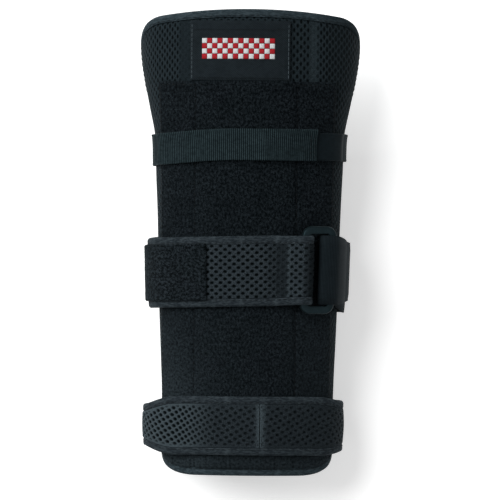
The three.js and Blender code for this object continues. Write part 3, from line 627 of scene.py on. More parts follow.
def supportShell():
    # rows of the flat sheet carried onto the arm; both faces leave the squeezed edge by an S curve,
    # and the upper one sinks at the two pressed bands beside the label
    ends = shell["endRows"]
    row = np.concatenate([ends, np.linspace(*shell["rows"]), [arm["length"] - e for e in ends[::-1]]])
    across, row = np.broadcast_arrays(np.linspace(-1, 1, shell["columns"])[None, :], row[:, None])
    around, y = sheetPlace(across, row, shell["inset"])
    perShare = (reachAt(row) - arm["knee"]) / (1 - arm["knee"] / arm["halfGirth"])
    edge = shell["inset"] + np.minimum(np.minimum(row, arm["length"] - row), (1 - np.abs(across)) * perShare)
    free = smoothStep(*shell["rim"], edge)
    e = shell["bandEdge"]
    pressed = sum(smoothStep(low - e, low + e, around) * (1 - smoothStep(high - e, high + e, around))
                  for low, high in shell["bands"]) * smoothStep(*shell["bandStart"], y)
    wave = shell["wave"] * surfaceNoise(around, y, shell["grains"], 3)
    upper = armPoint(around, y, mix(-shell["squeeze"], wave - shell["bandSink"] * pressed, free))
    under = armPoint(around, y, mix(shell["squeeze"], wave, free) - arm["wall"])
    # beyond the bands the mesh is stretched, and its rows slant
    left, right = (np.clip(side * around - shell["skewFrom"], 0, None) for side in (-1, 1))
    (leftAround, leftAlong), (rightAround, rightAlong) = shell["leftSkew"], shell["rightSkew"]
    spread = fade(shell["spread"], np.abs(around)) * (y - shell["spreadFrom"])
    weave = np.stack([around + leftAround * left + rightAround * right,
                      y + spread + leftAlong * left + rightAlong * right], -1)
    # painted shade darkens the mesh towards the right side, away from the light; the left pressed band is
    # dulled
    values = dict(
        pressed=shell["bandPress"] * pressed,
        dullingAndShade=fade(shell["rightShade"], around) + shell["bandDull"] * pressed * (around < 0),
        opened=fade(shell["rightOpen"], around) + fade(shell["leftOpen"], around),
        sewn=shell["bandSewn"] * pressed * (around > 0),
    )
    return finish(clothSheet("support_shell_cloth", upper, under, weave, shellMesh, values),
                  "spacer_mesh", "support_shell")


shellBand = dict(
    # lap from the shell's edge and height over its outer face, once round the folded binding
    profile=[(4.8, -0.1), (4.6, 0.12), (4.0, 0.1), (3.3, 0.24), (2.2, 0.28), (1.2, 0.12), (0.5, -0.3),
             (0.1, -1.1), (0, -2), (0.1, -2.9), (0.5, -3.7), (1.2, -4.1), (2.2, -4.2), (3.4, -4.2),
             (4.6, -4.1), (4.8, -3.9), (4.7, -3.15), (1.1, -3.1), (0.95, -2), (1.1, -0.9), (4.7, -0.85)],
    step=1.1, reach=4.8, nose=8, skin=1.3, puff=0.16, pull=0.1, pitch=3.4, stitchInset=3.9, pullWidth=0.7,
    grains=[(9, 1), (4, 0.6)], roundShade=(0.5, 38, 58), alongShade=(120, 200), stitchLift=0.16,
)


def shellEdge():
    # once round the shell's flat sheet, as its two coordinates
    length = arm["length"]
    rows, columns = int(length / shellBand["step"]), int(arm["halfGirth"] * 2 / shellBand["step"])
    across, row = np.linspace(-1, 1, columns + 1)[:-1], np.linspace(0, length, rows + 1)[:-1]
    return (np.concatenate([across, np.full(rows, 1.0), -across, np.full(rows, -1.0)]),
            np.concatenate([np.zeros(columns), row, np.full(columns, length), length - row]))


def trackAlong(points):
    # distance run along a closed line of points, in millimetres
    steps = np.linalg.norm(np.diff(points, axis=0, append=points[:1]), axis=1) * 1000
    return np.concatenate([[0], np.cumsum(steps)[:-1]])


def shellBinding():
    # the profile carried round the shell's edge, puffed by noise and drawn in at each stitch
    across, row = shellEdge()
    section, core = np.array(shellBand["profile"]), -arm["wall"] / 2
    inset, lift = section[:, 0][None, :], section[:, 1][None, :]
    around, y = sheetPlace(across[:, None], row[:, None], inset)
    run = trackAlong(armPoint(around[:, shellBand["nose"]], y[:, shellBand["nose"]], core))[:, None]
    pull = shellBand["pull"] * np.cos(run * 2 * math.pi / shellBand["pitch"])
    pull = pull * hump(inset, shellBand["stitchInset"], shellBand["pullWidth"])
    puff = shellBand["puff"] * surfaceNoise(run, inset * 3, shellBand["grains"], 11)
    puff = puff * np.sin(np.clip(inset / shellBand["reach"], 0, 1) * math.pi)
    outer = np.where(lift > core, 1, -1) * (np.abs(lift - core) > shellBand["skin"])
    rings = armPoint(around, y, lift + outer * (pull + puff))
    weave = np.stack(np.broadcast_arrays(run, pathLength(section)[None, :]), -1)
    # painted shade darkens the binding on the right side, more towards the forearm end
    values = dict(dullingAndShade=fade(shellBand["roundShade"], around) * smoothStep(*shellBand["alongShade"], y))
    return finish(tube("shell_binding_cloth", rings, weave, edgeBinding, True, values),
                  "binding", "shell_binding")


# Loop panel: brushed pile with a stitched channel down each side

panel = dict(
    left=-56.8, right=53.2, top=236.4, pile=1.8, leftSeam=-32.8, rightSeam=28.4, pocketRise=0.6,
    columns=123, rows=258, groove=0.8, grooveWidth=1.1, edgeShare=0.62, edgeWidth=2.2,
    tuft=0.4, grains=[(1.5, 1), (2.6, 1), (6, 0.7), (19, 0.6)], wornGrains=[(14, 1), (6, 0.7)],
    wornLeft=(1, -8, -50), wornDown=(0.9, 110, 40), wornEnd=(0.5, 28, 8), wornRight=(0.25, 15, 45),
    wornBelow=(112, 90), wornLeast=(0.1, 0.12), stitchInset=1.6, stitchStart=8, edgeLift=2.1, seamLift=1.62,
)
panelTop = arm["gap"] + panel["pile"] + panel["pocketRise"]


def edgeDistance(x, y, left, right, bottom, top):
    # distance to the nearest side of a rectangle, from inside it
    return np.minimum(np.minimum(x - left, right - x), np.minimum(y - bottom, top - y))


def laidSheet(name, around, y, lift, material, values=None):
    # a sheet that lies on the shell with a small gap under it
    upper, under = armPoint(around, y, lift), armPoint(around, y, arm["gap"] + 0 * lift)
    return clothSheet(name, upper, under, np.stack([around, y], -1), material, values)


def loopPanel():
    # height: the pile, thinner at its edge, on the pocket's broad rise, less a bell groove at each
    # seam, with tufts of four sizes; the rubbed parts are the left, the hand end and below the wrist
    bottom = shellBand["reach"] + arm["gap"]
    around = np.linspace(panel["left"], panel["right"], panel["columns"])[None, :]
    row = np.linspace(0, panel["top"], panel["rows"])[:, None]
    around, row = np.broadcast_arrays(around, row)
    y = row + handRise(around, row, bottom)
    middle, half = (panel["leftSeam"] + panel["rightSeam"]) / 2, (panel["rightSeam"] - panel["leftSeam"]) / 2
    grooves = sum(hump(around, panel[side], panel["grooveWidth"]) for side in ("leftSeam", "rightSeam"))
    pocket = panel["pocketRise"] * np.clip(1 - (np.abs(around - middle) / half) ** 4, 0, 1)
    edge = edgeDistance(around, row, panel["left"], panel["right"], 0, panel["top"])
    soft = np.clip(edge / panel["edgeWidth"], 0, 1)
    pile = panel["pile"] * mix(panel["edgeShare"], 1, np.sqrt(soft))
    tufts = panel["tuft"] * surfaceNoise(around, y, panel["grains"], 21) * soft
    lift = arm["gap"] + pile + pocket - panel["groove"] * grooves + tufts
    leastLeft, leastBelow = panel["wornLeast"]
    worn = fade(panel["wornLeft"], around) * (leastLeft + fade(panel["wornDown"], y))
    worn = worn * (0.75 + 0.25 * surfaceNoise(around, y, panel["wornGrains"], 23)) + fade(panel["wornEnd"], y)
    worn = worn + (leastBelow + fade(panel["wornRight"], around)) * smoothStep(*panel["wornBelow"], y)
    return finish(laidSheet("loop_panel_cloth", around, y, lift, loopPile, dict(worn=np.clip(worn, 0, 1))),
                  "loop_pile", "loop_panel")


# Label patch: twill with turned edges and a band of embroidered checks

label = dict(
    left=-36, right=23.6, bottom=237.5, top=272.6, thickness=1, columns=91, rows=55, edgeShare=0.7,
    edgeWidth=1.2, turned=0.22, turnedEnd=(3.6, 4.6), hemStart=(6.2, 5.4),
    slack=0.2, slackEdge=5, grains=[(17, 1), (8, 0.4)],
    sideRow=dict(inset=0.9, end=0.5, lift=1.62), bottomRow=(1.2, 1.5), hemRow=(5, 1.7),
    check=3.1, checks=(14, 4), middle=(-7.2, 256.2), seam=0.06, sides=7, satin=(-0.35, 0.1, 0.3), raised=0.12,
)


def labelPatch():
    # height: the cloth, rounded at its edge, doubled where its sides and top are turned in
    around, y = np.broadcast_arrays(np.linspace(label["left"], label["right"], label["columns"])[None, :],
                                    np.linspace(label["bottom"], label["top"], label["rows"])[:, None])
    edge = edgeDistance(around, y, label["left"], label["right"], label["bottom"], label["top"])
    beside = np.minimum(around - label["left"], label["right"] - around)
    turned = label["turned"] * (1 - smoothStep(*label["turnedEnd"], beside))
    hem = label["turned"] * smoothStep(*(label["top"] - depth for depth in label["hemStart"]), y)
    slack = label["slack"] * surfaceNoise(around, y, label["grains"], 31)
    slack = slack * np.clip(edge / label["slackEdge"], 0, 1)
    cloth = label["thickness"] * mix(label["edgeShare"], 1, np.sqrt(np.clip(edge / label["edgeWidth"], 0, 1)))
    return finish(laidSheet("label_patch_cloth", around, y, arm["gap"] + cloth + turned + hem + slack, twill),
                  "woven_twill", "label_patch")


def labelChecks():
    # small pillows of satin stitch, red and white by turns, in one mesh: a pillow's height is the
    # product of one minus the fourth power of each coordinate
    size, (columns, rows), (centreX, centreY) = label["check"], label["checks"], label["middle"]
    sides = label["sides"]
    u, v = np.meshgrid(*[np.linspace(-1, 1, sides)] * 2)
    crown = (1 - u**4) * (1 - v**4)
    foot, brim, rise = label["satin"]
    base, half = arm["gap"] + label["thickness"] + label["raised"], size / 2 - label["seam"]
    points, quads, flat, slots = [], [], [], []
    edge, under = borderOf(sides, sides), sides**2
    for c in range(columns):
        for r in range(rows):
            x = centreX + (c - (columns - 1) / 2) * size + u * half
            y = centreY + (r - (rows - 1) / 2) * size + v * half
            first = sum(len(p) for p in points)
            rim = first + edge
            points += [armPoint(x, y, base + brim + rise * crown).reshape(-1, 3),
                       armPoint(x, y, base + foot + 0 * crown).reshape(-1, 3)]
            faces = [gridQuads(sides, sides, first=first),
                     gridQuads(sides, sides, first=first + under)[:, ::-1],
                     np.stack([rim, under + rim, under + np.roll(rim, -1), np.roll(rim, -1)], 1)]
            quads += faces
            flat += [np.stack([x, y], -1).reshape(-1, 2)] * 2
            slots.append(np.full(sum(len(f) for f in faces), (c + r) % 2))
    piece = makeMesh("label_checks", np.concatenate(points), np.concatenate(quads), np.concatenate(flat),
                     [redThread, whiteThread], slots=np.concatenate(slots))
    return finish(faceOut(piece), "woven_twill")


# Straps: a path of distance round the arm and lift carries a section across it

strapHalf = 1.5  # half the thickness of a bound mesh strap
strapFit = dict(besidePanel=(55, 62), window=64, probe=0.4)
# steps along a strap on the back of the hand and underneath
bandSteps, meshSteps, padSteps = (0.8, 1.6), (0.5, 1.5), (0.8, 1.4)


def strapLift(around, centre, thickness, snug=False):
    # the middle of a strap over the panel, sinking beside it when snug, and down to the floor
    _, sideEnd, heelEnd = girthOf(centre)
    beside = smoothStep(*strapFit["besidePanel"], np.abs(around))
    under = mix(panelTop + arm["gap"], 2 * arm["gap"], beside) if snug else panelTop + arm["gap"]
    onFloor = arm["floorGap"] - thickness / 2
    return mix(under + thickness / 2, onFloor, smoothStep(sideEnd, heelEnd, np.abs(around)))


def stations(start, end, fine, coarse, window=strapFit["window"]):
    # distances round the arm, close together on the back of the hand and wider underneath
    marks = [start, *[m for m in (-window, window) if min(start, end) < m < max(start, end)], end]
    marks = sorted(marks, reverse=start > end)
    runs = []
    for a, b in zip(marks, marks[1:]):
        step = fine if abs(a + b) / 2 < window else coarse
        runs.append(np.linspace(a, b, max(2, round(abs(b - a) / step) + 1))[:-1])
    return np.concatenate([*runs, [end]])


def strapShift(around, centre):
    # the wrist strap rises to the right until its sides, and the hand strap's sides hang down
    far = np.abs(around)
    if centre == wrist["centre"]:
        level = np.where(around < 0, smoothStep(*wrist["leftLevel"], far),
                         smoothStep(*wrist["rightLevel"], far))
        return wrist["slope"] * np.asarray(around) * (1 - level)
    return -fade(hand["droop"], far) if centre == hand["centre"] else 0 * far


def clearOfFloor(around, centre):
    # 1 on the back and sides, 0 where a strap lies flat on the floor
    _, sideEnd, heelEnd = girthOf(centre)
    return 1 - smoothStep(sideEnd, heelEnd, np.abs(around))


def strapRings(path, centre, across, out, closed=False, relief=0):
    # path holds distance round the arm and lift; across and out place each point on its section,
    # and relief adds to out wherever the strap doesn't lie on the floor
    around, lift = path[:, 0:1], path[:, 1:2]
    out = out + relief * clearOfFloor(around, centre)
    y = centre + (across + strapShift(around, centre))
    middle, after, before = (strapPoint(around, centre, y + step, lift)
                             for step in (0, strapFit["probe"], -strapFit["probe"]))
    lengthways = np.roll(middle, -1, 0) - np.roll(middle, 1, 0) if closed else np.gradient(middle, axis=0)
    normal = np.cross(lengthways, after - before)
    normal /= np.linalg.norm(normal, axis=-1, keepdims=True)
    lifted = strapPoint(around[:1], centre, y[:1], lift[:1] + 1) - middle[:1]
    normal *= np.sign(np.sum(lifted * normal[:1]))
    return middle + normal * np.asarray(out)[..., None] / 1000


def pathLength(path):
    # distance run along an open line of points
    return np.concatenate([[0], np.cumsum(np.hypot(*np.diff(path, axis=0).T))])


def flatSection(half, thickness, points):
    # once round a flat strap's section: over the top, then back underneath
    over, back = np.linspace(-1, 1, points), np.linspace(1, -1, 9)
    rim = np.array([[1.0, 0.55], [1.0, -0.55]])
    inner = 1 - 0.25 / half
    section = np.concatenate([np.stack([over * inner, np.ones(points)], -1), rim,
                              np.stack([back * inner, -np.ones(9)], -1), -rim])
    top = np.concatenate([np.ones(points), np.zeros(13)])
    return section[:, 0] * half, section[:, 1] * thickness / 2, top


# Forearm strap: a smooth tape from the right, and ribbed webbing sewn down over its end

tape = dict(centre=198, width=16.4, thickness=1.2, start=18, points=23, selvedge=(0.12, 7.4, 0.5),
            slack=0.1, grains=[(13, 1), (5, 0.4)])
webbing = dict(
    centre=199, width=19, thickness=1.3, end=38.8, drop=(3.2, 8, 66), landing=(0, 10), points=25,
    rib=0.16, ribPitch=1.15, ribEdge=(8.2, 8.9), selvedge=(0.18, 8.9, 0.55),
    slack=0.12, grains=[(15, 1), (6, 0.5)],
    seamRows=((35.2, 37.6), 0.72, 8.6),
)


def forearmTape():
    # a flat tape with a raised selvedge and a little slack
    around = stations(girthOf(tape["centre"])[0], tape["start"], *bandSteps)
    path = np.stack([around, strapLift(around, tape["centre"], tape["thickness"], True)], -1)
    across, out, top = flatSection(tape["width"] / 2, tape["thickness"], tape["points"])
    run, across = np.broadcast_arrays(around[:, None], across[None, :])
    slack = tape["slack"] * surfaceNoise(run, across, tape["grains"], 41)
    relief = slack + bellRule(tape["selvedge"], np.abs(across)) * top
    rings = strapRings(path, tape["centre"], across, out, relief=relief)
    return finish(tube("forearm_tape_cloth", rings, np.stack([run, across], -1), closeTape),
                  "smooth_tape", "forearm_tape")


def forearmWebbing():
    # ribs as a cosine along the webbing, up to its selvedge; it drops to the left, and rises over the tape
    around = stations(webbing["end"], -girthOf(webbing["centre"])[0] + arm["gap"],
                      webbing["ribPitch"] / 4, webbing["ribPitch"])
    rise = (tape["thickness"] + arm["gap"]) * smoothStep(*webbing["landing"], around)
    path = np.stack([around, strapLift(around, webbing["centre"], webbing["thickness"], True) + rise], -1)
    across, out, top = flatSection(webbing["width"] / 2, webbing["thickness"], webbing["points"])
    run, across = np.broadcast_arrays(around[:, None], across[None, :])
    ribs = webbing["rib"] * np.cos(run * 2 * math.pi / webbing["ribPitch"])
    ribs = ribs * (1 - smoothStep(*webbing["ribEdge"], np.abs(across)))
    slack = webbing["slack"] * surfaceNoise(run, across, webbing["grains"], 43)
    relief = slack + (ribs + bellRule(webbing["selvedge"], np.abs(across))) * top
    shifted = across - fade(webbing["drop"], -around)[:, None]
    rings = strapRings(path, webbing["centre"], shifted, out, relief=relief)
    return finish(tube("forearm_webbing_cloth", rings, np.stack([run, across], -1), ribbedWebbing),
                  "ribbed_webbing", "forearm_webbing")


# Wrist strap: mesh folded round the left bar of the ring, with a pad of pile on its left

wrist = dict(
    centre=123.2, width=42.4, reach=4.8, narrowing=0.9, joint=14, squeeze=0.7, seamStart=14, seamEnd=24,
    slope=0.026, leftLevel=(66, 104), rightLevel=(42, 60), points=66, seam=((15.4, 16.6), (21.4, 22.2)),
    foldLength=14, foldShade=(0.95, 28.5, 34), seamDull=0.62, besideDull=(0.3, 9, 12), besideEnd=(16, 17),
    seamPress=0.35, threadRow=(0.3, 22.8, 0.8), crown=0.35, crownHalf=17, soft=0.14, seamSink=0.5,
    grains=[(14, 1), (6, 0.5)], holeSink=0.85, seamHoles=0.4, stitchInset=3.9, step=0.5, pathPoints=160,
    bandGap=0.35,
    seamRows=((16.6, 21), 1.3, 15.5),  # places round the arm, height over the strap's middle, half the length
)
ring = dict(
    share=0.895, lift=7.2, width=22.6, length=52.8, bar=4.8, thickness=3.2, corner=6.5, bevel=0.9, ease=0.6,
    cornerPoints=13, shortPoints=7, longPoints=17, sectionPoints=28, squareness=0.36,
)


def ringSeat():
    # the wrist's section, the ring's three directions, and its middle on that section and in place
    section = armSection(np.array(float(wrist["centre"])))
    turn = arm["crownAngle"] * ring["share"]
    across = np.array([math.cos(turn), 0, -math.sin(turn)])
    normal = np.array([math.sin(turn), 0, math.cos(turn)])
    located = (np.array(0), np.array(ring["share"]), np.array(1))
    centre = wrist["centre"] + float(strapShift(ring["share"] * section["lengths"][0], wrist["centre"]))
    middle, before, seat, after = (
        place(located, armSection(np.array(y)), np.array(y), np.array(ring["lift"])) * 1000
        for y in (wrist["centre"], centre - 1, centre, centre + 1))
    along = after - before
    along -= across * along.dot(across)
    return section, across, along / np.linalg.norm(along), normal, middle, seat


def unplace(x, z, section):
    # distance round the arm and lift of points of the wrist section, right of the back's middle
    crown, half, r, angle = section["crown"], section["half"], arm["shoulder"], arm["crownAngle"]
    crownZ = section["top"] - crown
    turn = np.arctan2(x, z - crownZ)
    sx, sz = x - (half - r), z - (crownZ + (crown - r) * math.cos(angle))
    onCrown = turn <= angle
    around = np.where(onCrown, crown * turn, section["lengths"][0] + r * (np.arctan2(sx, sz) - angle))
    return np.stack([around, np.where(onCrown, np.hypot(x, z - crownZ) - crown, np.hypot(sx, sz) - r)], -1)


def roundBar(side, thickness, loop=0):
    # a strap's centreline round one bar, from below it to above it, standing off by the loop
    section, across, _, normal, middle, _ = ringSeat()
    flatX, flatZ = ring["bar"] / 2 - ring["bevel"], ring["thickness"] / 2 - ring["bevel"]
    radius = ring["bevel"] + ring["ease"] + thickness / 2
    turn = np.radians(np.arange(-85, 86, 10))
    x = np.concatenate([[-ring["bar"] / 2], flatX + (radius + loop) * np.cos(turn), [-ring["bar"] / 2]])
    z = np.concatenate([[-flatZ - radius], np.sign(turn) * flatZ + radius * np.sin(turn), [flatZ + radius]])
    bar = middle + across * side * (ring["width"] / 2 - ring["bar"] / 2)
    points = bar - side * x[:, None] * across + z[:, None] * normal
    return unplace(points[:, 0], points[:, 2], section)


def resampled(path, step, columns):
    # evenly spaced points of a path with its further columns, its corners eased a little
    length = pathLength(path)
    even = np.linspace(0, length[-1], round(length[-1] / step) + 1)
    full = np.concatenate([path, columns], 1)
    lines = np.stack([np.interp(even, length, column) for column in full.T], -1)
    for _ in range(2):
        lines[1:-1] = lines[1:-1] / 2 + (lines[:-2] + lines[2:]) / 4
    return lines


def wristPath(step):
    # columns: distance round, lift, squeeze and how far it is drawn in
    squeezed = 2 * strapHalf * wrist["squeeze"]
    under = panelTop + arm["gap"] + squeezed / 2
    over = under + squeezed + arm["gap"]
    far = np.linspace(-girthOf(wrist["centre"])[0] + wrist["joint"], wrist["seamStart"], wrist["pathPoints"])
    near = np.stack([far, strapLift(far, wrist["centre"], 2 * strapHalf)], -1)
    folded = np.concatenate([[[wrist["seamEnd"], over]], roundBar(-1, squeezed)[::-1],
                             [[wrist["seamEnd"], under]]])
    columns = np.repeat([[1.0, 0.0], [wrist["squeeze"], 1.0]], [len(near), len(folded)], axis=0)
    return resampled(np.concatenate([near, folded]), step, columns)


def strapWidth(strap, narrow):
    # half the width of a strap where it is drawn in by that share
    return (strap["width"] - strap["narrowing"] * narrow)[:, None] / 2


meshFold = dict(rim=0.8, ease=0.08, edge=0.12, thinned=0.95, backPoints=11, bandEase=(0, 0.9))


def meshSection(strap, narrow, squeeze, fine):
    # outer face of a mesh strap in fine steps, its rims under the bindings, and a plain inner face
    half = strapWidth(strap, narrow)
    rim, step = half - meshFold["rim"], half - strap["reach"] - meshFold["ease"]
    plain = meshFold["backPoints"]
    over = np.linspace(-1, 1, fine)[None, :] * (step - meshFold["edge"])
    back = np.linspace(1, -1, plain)[None, :] * (step - meshFold["edge"])
    across = np.concatenate([-rim, -step, over, step, rim, rim, step, back, -step, -rim], 1)
    full, thin = strapHalf, strapHalf - meshFold["thinned"]
    levels = [thin, full, thin, -thin, -full, -thin]
    out = np.repeat(levels, [2, fine, 2, 2, plain, 2])[None, :] * squeeze[:, None]
    top = np.repeat([0.0, 1, 0], [2, fine, 6 + plain])[None, :]
    return across, out, top


foldedBand = dict(
    # lap and height, once round; the laps of outer, inner and lip start from the binding's reach
    outer=[(0, 1.4), (-0.2, 1.62), (-0.9, 1.58), (-1.7, 1.72)],
    nose=[(2, 1.76), (1.1, 1.6), (0.4, 1.15), (0.08, 0.5), (0, 0), (0.08, -0.5), (0.4, -1.15), (1.1, -1.5),
          (2, -1.58)],
    inner=[(-0.3, -1.55), (0, -1.4), (-0.05, -0.98)], core=[(0.62, -0.95), (0.5, 0), (0.62, 0.95)],
    lip=[(-0.05, 0.98)], skin=1.05, pull=-0.2, pitch=3.2, stitchInset=0.9, pullWidth=0.6,
    puff=0.1, grains=[(8, 1), (4, 0.6)], stretch=1.2, stitchLift=1.25, stitchRelief=0.35,
)


def bandProfile(reach):
    # once round the folded binding: lap from the strap's edge and height from its middle
    return np.array([(lap + reach * counted, height)
                     for key, counted in (("outer", 1), ("nose", 0), ("inner", 1), ("core", 0), ("lip", 1))
                     for lap, height in foldedBand[key]])


def strapBinding(name, node, strap, path, narrow, squeeze, side, seed, closed=False):
    # the folded profile carried along a strap's edge, puffed by noise and drawn in at each stitch
    section = bandProfile(strap["reach"])
    inset, height = section[:, 0][None, :], section[:, 1][None, :]
    across = side * (strapWidth(strap, narrow) - inset)
    out, run = height * squeeze[:, None], pathLength(path)[:, None]
    pull = foldedBand["pull"] * np.cos(run * 2 * math.pi / foldedBand["pitch"])
    pull = pull * hump(inset, strap["reach"] - foldedBand["stitchInset"], foldedBand["pullWidth"])
    puff = foldedBand["puff"] * surfaceNoise(run + 0 * inset, inset * 3 + 0 * run, foldedBand["grains"], seed)
    flat = out.clip(-strapHalf, strapHalf)
    relief = out - flat + (height > foldedBand["skin"]) * (pull + puff)
    rings = strapRings(path, strap["centre"], across, flat, closed, relief)
    weave = np.stack([run + 0 * across, inset * foldedBand["stretch"] + 0 * across], -1)
    return finish(tube(name, rings, weave, bindingCloth, closed), "binding", node)


def wristStrap():
    # relief: a low crown across the mesh with noise, sunk at its holes and along the fold's seam
    lines = wristPath(wrist["step"])
    path, squeeze, narrow = lines[:, :2], lines[:, 2], lines[:, 3]
    across, out, top = meshSection(wrist, narrow, squeeze, wrist["points"])
    run, length = path[:, 0:1] + 0 * across, pathLength(path)[:, None] + 0 * across
    onTop = length < length[run > wrist["seamEnd"]].min() + wrist["foldLength"]
    starting, ending = wrist["seam"]
    seam = smoothStep(*starting, run) * (1 - smoothStep(*ending, run)) * onTop
    limit = wrist["width"] / 2 - wrist["reach"] - wrist["bandGap"] - np.abs(across)
    nearEdge = smoothStep(*meshFold["bandEase"], limit)
    shown = smoothStep(pad["start"] - 2, pad["start"], run)
    holes = holeDepth(length, across, strapLattice) * (1 - (1 - wrist["seamHoles"]) * seam) * squeeze[:, None]
    relief = wrist["crown"] * (1 - (across / wrist["crownHalf"]) ** 2).clip(0, 1)
    relief = relief + wrist["soft"] * surfaceNoise(length, across, wrist["grains"], 51)
    relief = relief - wrist["seamSink"] * seam - wrist["holeSink"] * holes
    rings = strapRings(path, wrist["centre"], across, out, relief=top * nearEdge * shown * relief)
    # painted shade darkens the mesh where it curves down into the fold round the bar; the seam and the strip
    # beside it are dulled
    beside = fade(wrist["besideDull"], run) * (1 - smoothStep(*wrist["besideEnd"], run))
    dullingAndShade = np.maximum(np.maximum(wrist["seamDull"] * seam, fade(wrist["foldShade"], run)), beside)
    values = dict(dullingAndShade=dullingAndShade, pressed=wrist["seamPress"] * seam,
                  sewn=bellRule(wrist["threadRow"], run) * onTop)
    return finish(tube("wrist_strap_cloth", rings, np.stack([length, across], -1), strapMesh, values=values),
                  "strap_mesh", "wrist_strap")


def wristBindings():
    # one along each edge, following the mesh round the fold
    lines = wristPath(bandSteps[0])
    for side, word, seed in ((1, "upper", 61), (-1, "lower", 63)):
        name = f"wrist_binding_{word}"
        strapBinding(f"{name}_cloth", name, wrist, lines[:, :2], lines[:, 3], lines[:, 2], side, seed)


pad = dict(start=-23.6, end=-98, width=34, low=2.2, pile=1.6, window=80, points=41, tuft=0.22,
           grains=[(1.4, 1), (3, 0.8), (7, 0.6)], endSink=0.5)


def wristPad():
    # a block of pile with rounded sides, tufted on top and sinking over its last 2 mm
    around = stations(pad["start"], pad["end"], *padSteps, pad["window"])
    path = np.stack([around, strapLift(around, wrist["centre"], 2 * strapHalf)], -1)
    half, low, high, points = pad["width"] / 2, pad["low"], pad["low"] + pad["pile"], pad["points"]
    over = np.stack([np.linspace(-1, 1, points) * (half - 0.9), np.full(points, high)], -1)
    rim = np.array([(half - 0.25, high - 0.35), (half, high - 0.9), (half, low + 0.3), (half - 0.2, low)])
    section = np.concatenate([over, rim, rim[::-1] * (-1, 1)])
    run, across = np.broadcast_arrays(around[:, None], section[:, 0][None, :])
    out = section[:, 1][None, :] + 0 * run
    ends = np.minimum(run - pad["end"], pad["start"] - run).clip(0, 2) / 2
    tufts = pad["tuft"] * surfaceNoise(run, across, pad["grains"], 71)
    top = np.repeat([1.0, 0], [points, 2 * len(rim)])
    relief = top * (tufts - pad["endSink"] * (1 - np.sqrt(ends)))
    rings = strapRings(path, wrist["centre"], across, out, relief=relief)
    return finish(tube("wrist_pad_cloth", rings, np.stack([run, across], -1), padPile),
                  "loop_pile", "wrist_pad")


tail = dict(
    width=41.4, thickness=1.6, taper=(6.4, 46, 68), droop=4, droopFrom=(50, 66), droopEnd=(8, 6), leave=60,
    end=100, loop=3.6, points=45, selvedge=(0.1, 1.1, 0.5), slack=0.12, grains=[(16, 1), (6, 0.4)],
    beforeRing=4, pathPoints=(150, 50),
)


def wristTail():
    # up the right side, round the ring's other bar and back down over itself; its lower layer droops
    # towards the fingers, and its upper one tapers
    girth, sideEnd, _ = girthOf(wrist["centre"])
    thick, (droopStart, droopStop) = tail["thickness"], tail["droopEnd"]
    inner = np.linspace(girth + wrist["joint"] - arm["gap"], tail["leave"] - tail["beforeRing"],
                        tail["pathPoints"][0])
    outer = np.linspace(tail["leave"], tail["end"], tail["pathPoints"][1])
    wrap = roundBar(1, thick, tail["loop"])
    lower, higher = (np.stack([part, strapLift(part, wrist["centre"], thick) + rise], -1)
                     for part, rise in ((inner, 0), (outer, thick + arm["gap"])))
    path = np.concatenate([lower, wrap, higher])
    upper = np.repeat([0.0, 1], [len(inner), len(wrap) + len(outer)])[:, None]
    lines = resampled(path, bandSteps[0], upper)
    path, upper, around = lines[:, :2], lines[:, 2:3], lines[:, 0:1]
    hang = smoothStep(*tail["droopFrom"], around)
    hang = hang * (1 - smoothStep(sideEnd + droopStart, girth - droopStop, around))
    half = tail["width"] / 2 - fade(tail["taper"], around) / 2 * upper
    across, out, _ = flatSection(1, thick, tail["points"])
    across, out = across[None, :] * half, out[None, :]
    run = pathLength(path)[:, None] + 0 * across
    height, inset, width = tail["selvedge"]
    slack = tail["slack"] * surfaceNoise(run, across, tail["grains"], 81)
    relief = slack + np.sign(out) * height * hump(np.abs(across) - half, -inset, width)
    shifted = across - tail["droop"] * (1 - upper) * hang
    rings = strapRings(path, wrist["centre"], shifted, out, relief=relief)
    return finish(tube("wrist_tail_cloth", rings, np.stack([run, across], -1), smoothTape),
                  "smooth_tape", "wrist_tail")


def strapRing():
    # a superellipse of the bar's width and thickness, carried round a rectangle with round corners
    _, across, along, normal, _, seat = ringSeat()
    facing = np.cross(across, along)
    facing *= np.sign(facing.dot(normal))
    w, l = (ring["width"] - ring["bar"]) / 2, (ring["length"] - ring["bar"]) / 2
    r = ring["corner"] - ring["bar"] / 2
    turn = np.linspace(0, math.pi / 2, ring["cornerPoints"])
    following = ((r - w, l), (-w, r - l), (w - r, -l), (w, l - r))
    lines, outs = [], []
    for k, (sx, sy) in enumerate(((1, 1), (-1, 1), (-1, -1), (1, -1))):
        outward = np.stack([np.cos(turn + k * math.pi / 2), np.sin(turn + k * math.pi / 2)], -1)
        corner = np.array([sx * (w - r), sy * (l - r)]) + r * outward
        share = np.linspace(0, 1, ring["longPoints"] if k in (1, 3) else ring["shortPoints"])[1:-1, None]
        lines += [corner, mix(corner[-1], np.array(following[k]), share)]
        outs += [outward, np.tile(outward[-1], (len(share), 1))]
    line, out = np.concatenate(lines), np.concatenate(outs)
    t = np.linspace(0, 2 * math.pi, ring["sectionPoints"] + 1)[:-1]
    sx, sz = (np.sign(wave) * np.abs(wave) ** ring["squareness"] * size / 2
              for wave, size in ((np.cos(t), ring["bar"]), (np.sin(t), ring["thickness"])))
    flat = line[:, None, :] + out[:, None, :] * sx[None, :, None]
    points = seat + flat[..., 0:1] * across + flat[..., 1:2] * along + sz[None, :, None] * facing
    weave = np.stack(np.broadcast_arrays(np.arange(len(line))[:, None] * 1.5, (t * 2)[None, :]), -1)
    return finish(tube("strap_ring_moulding", points / 1000, weave, acetal, True),
                  "moulded_ring", "strap_ring")


# Hand strap: two lengths of mesh, the left one slack and its mesh pulled askew

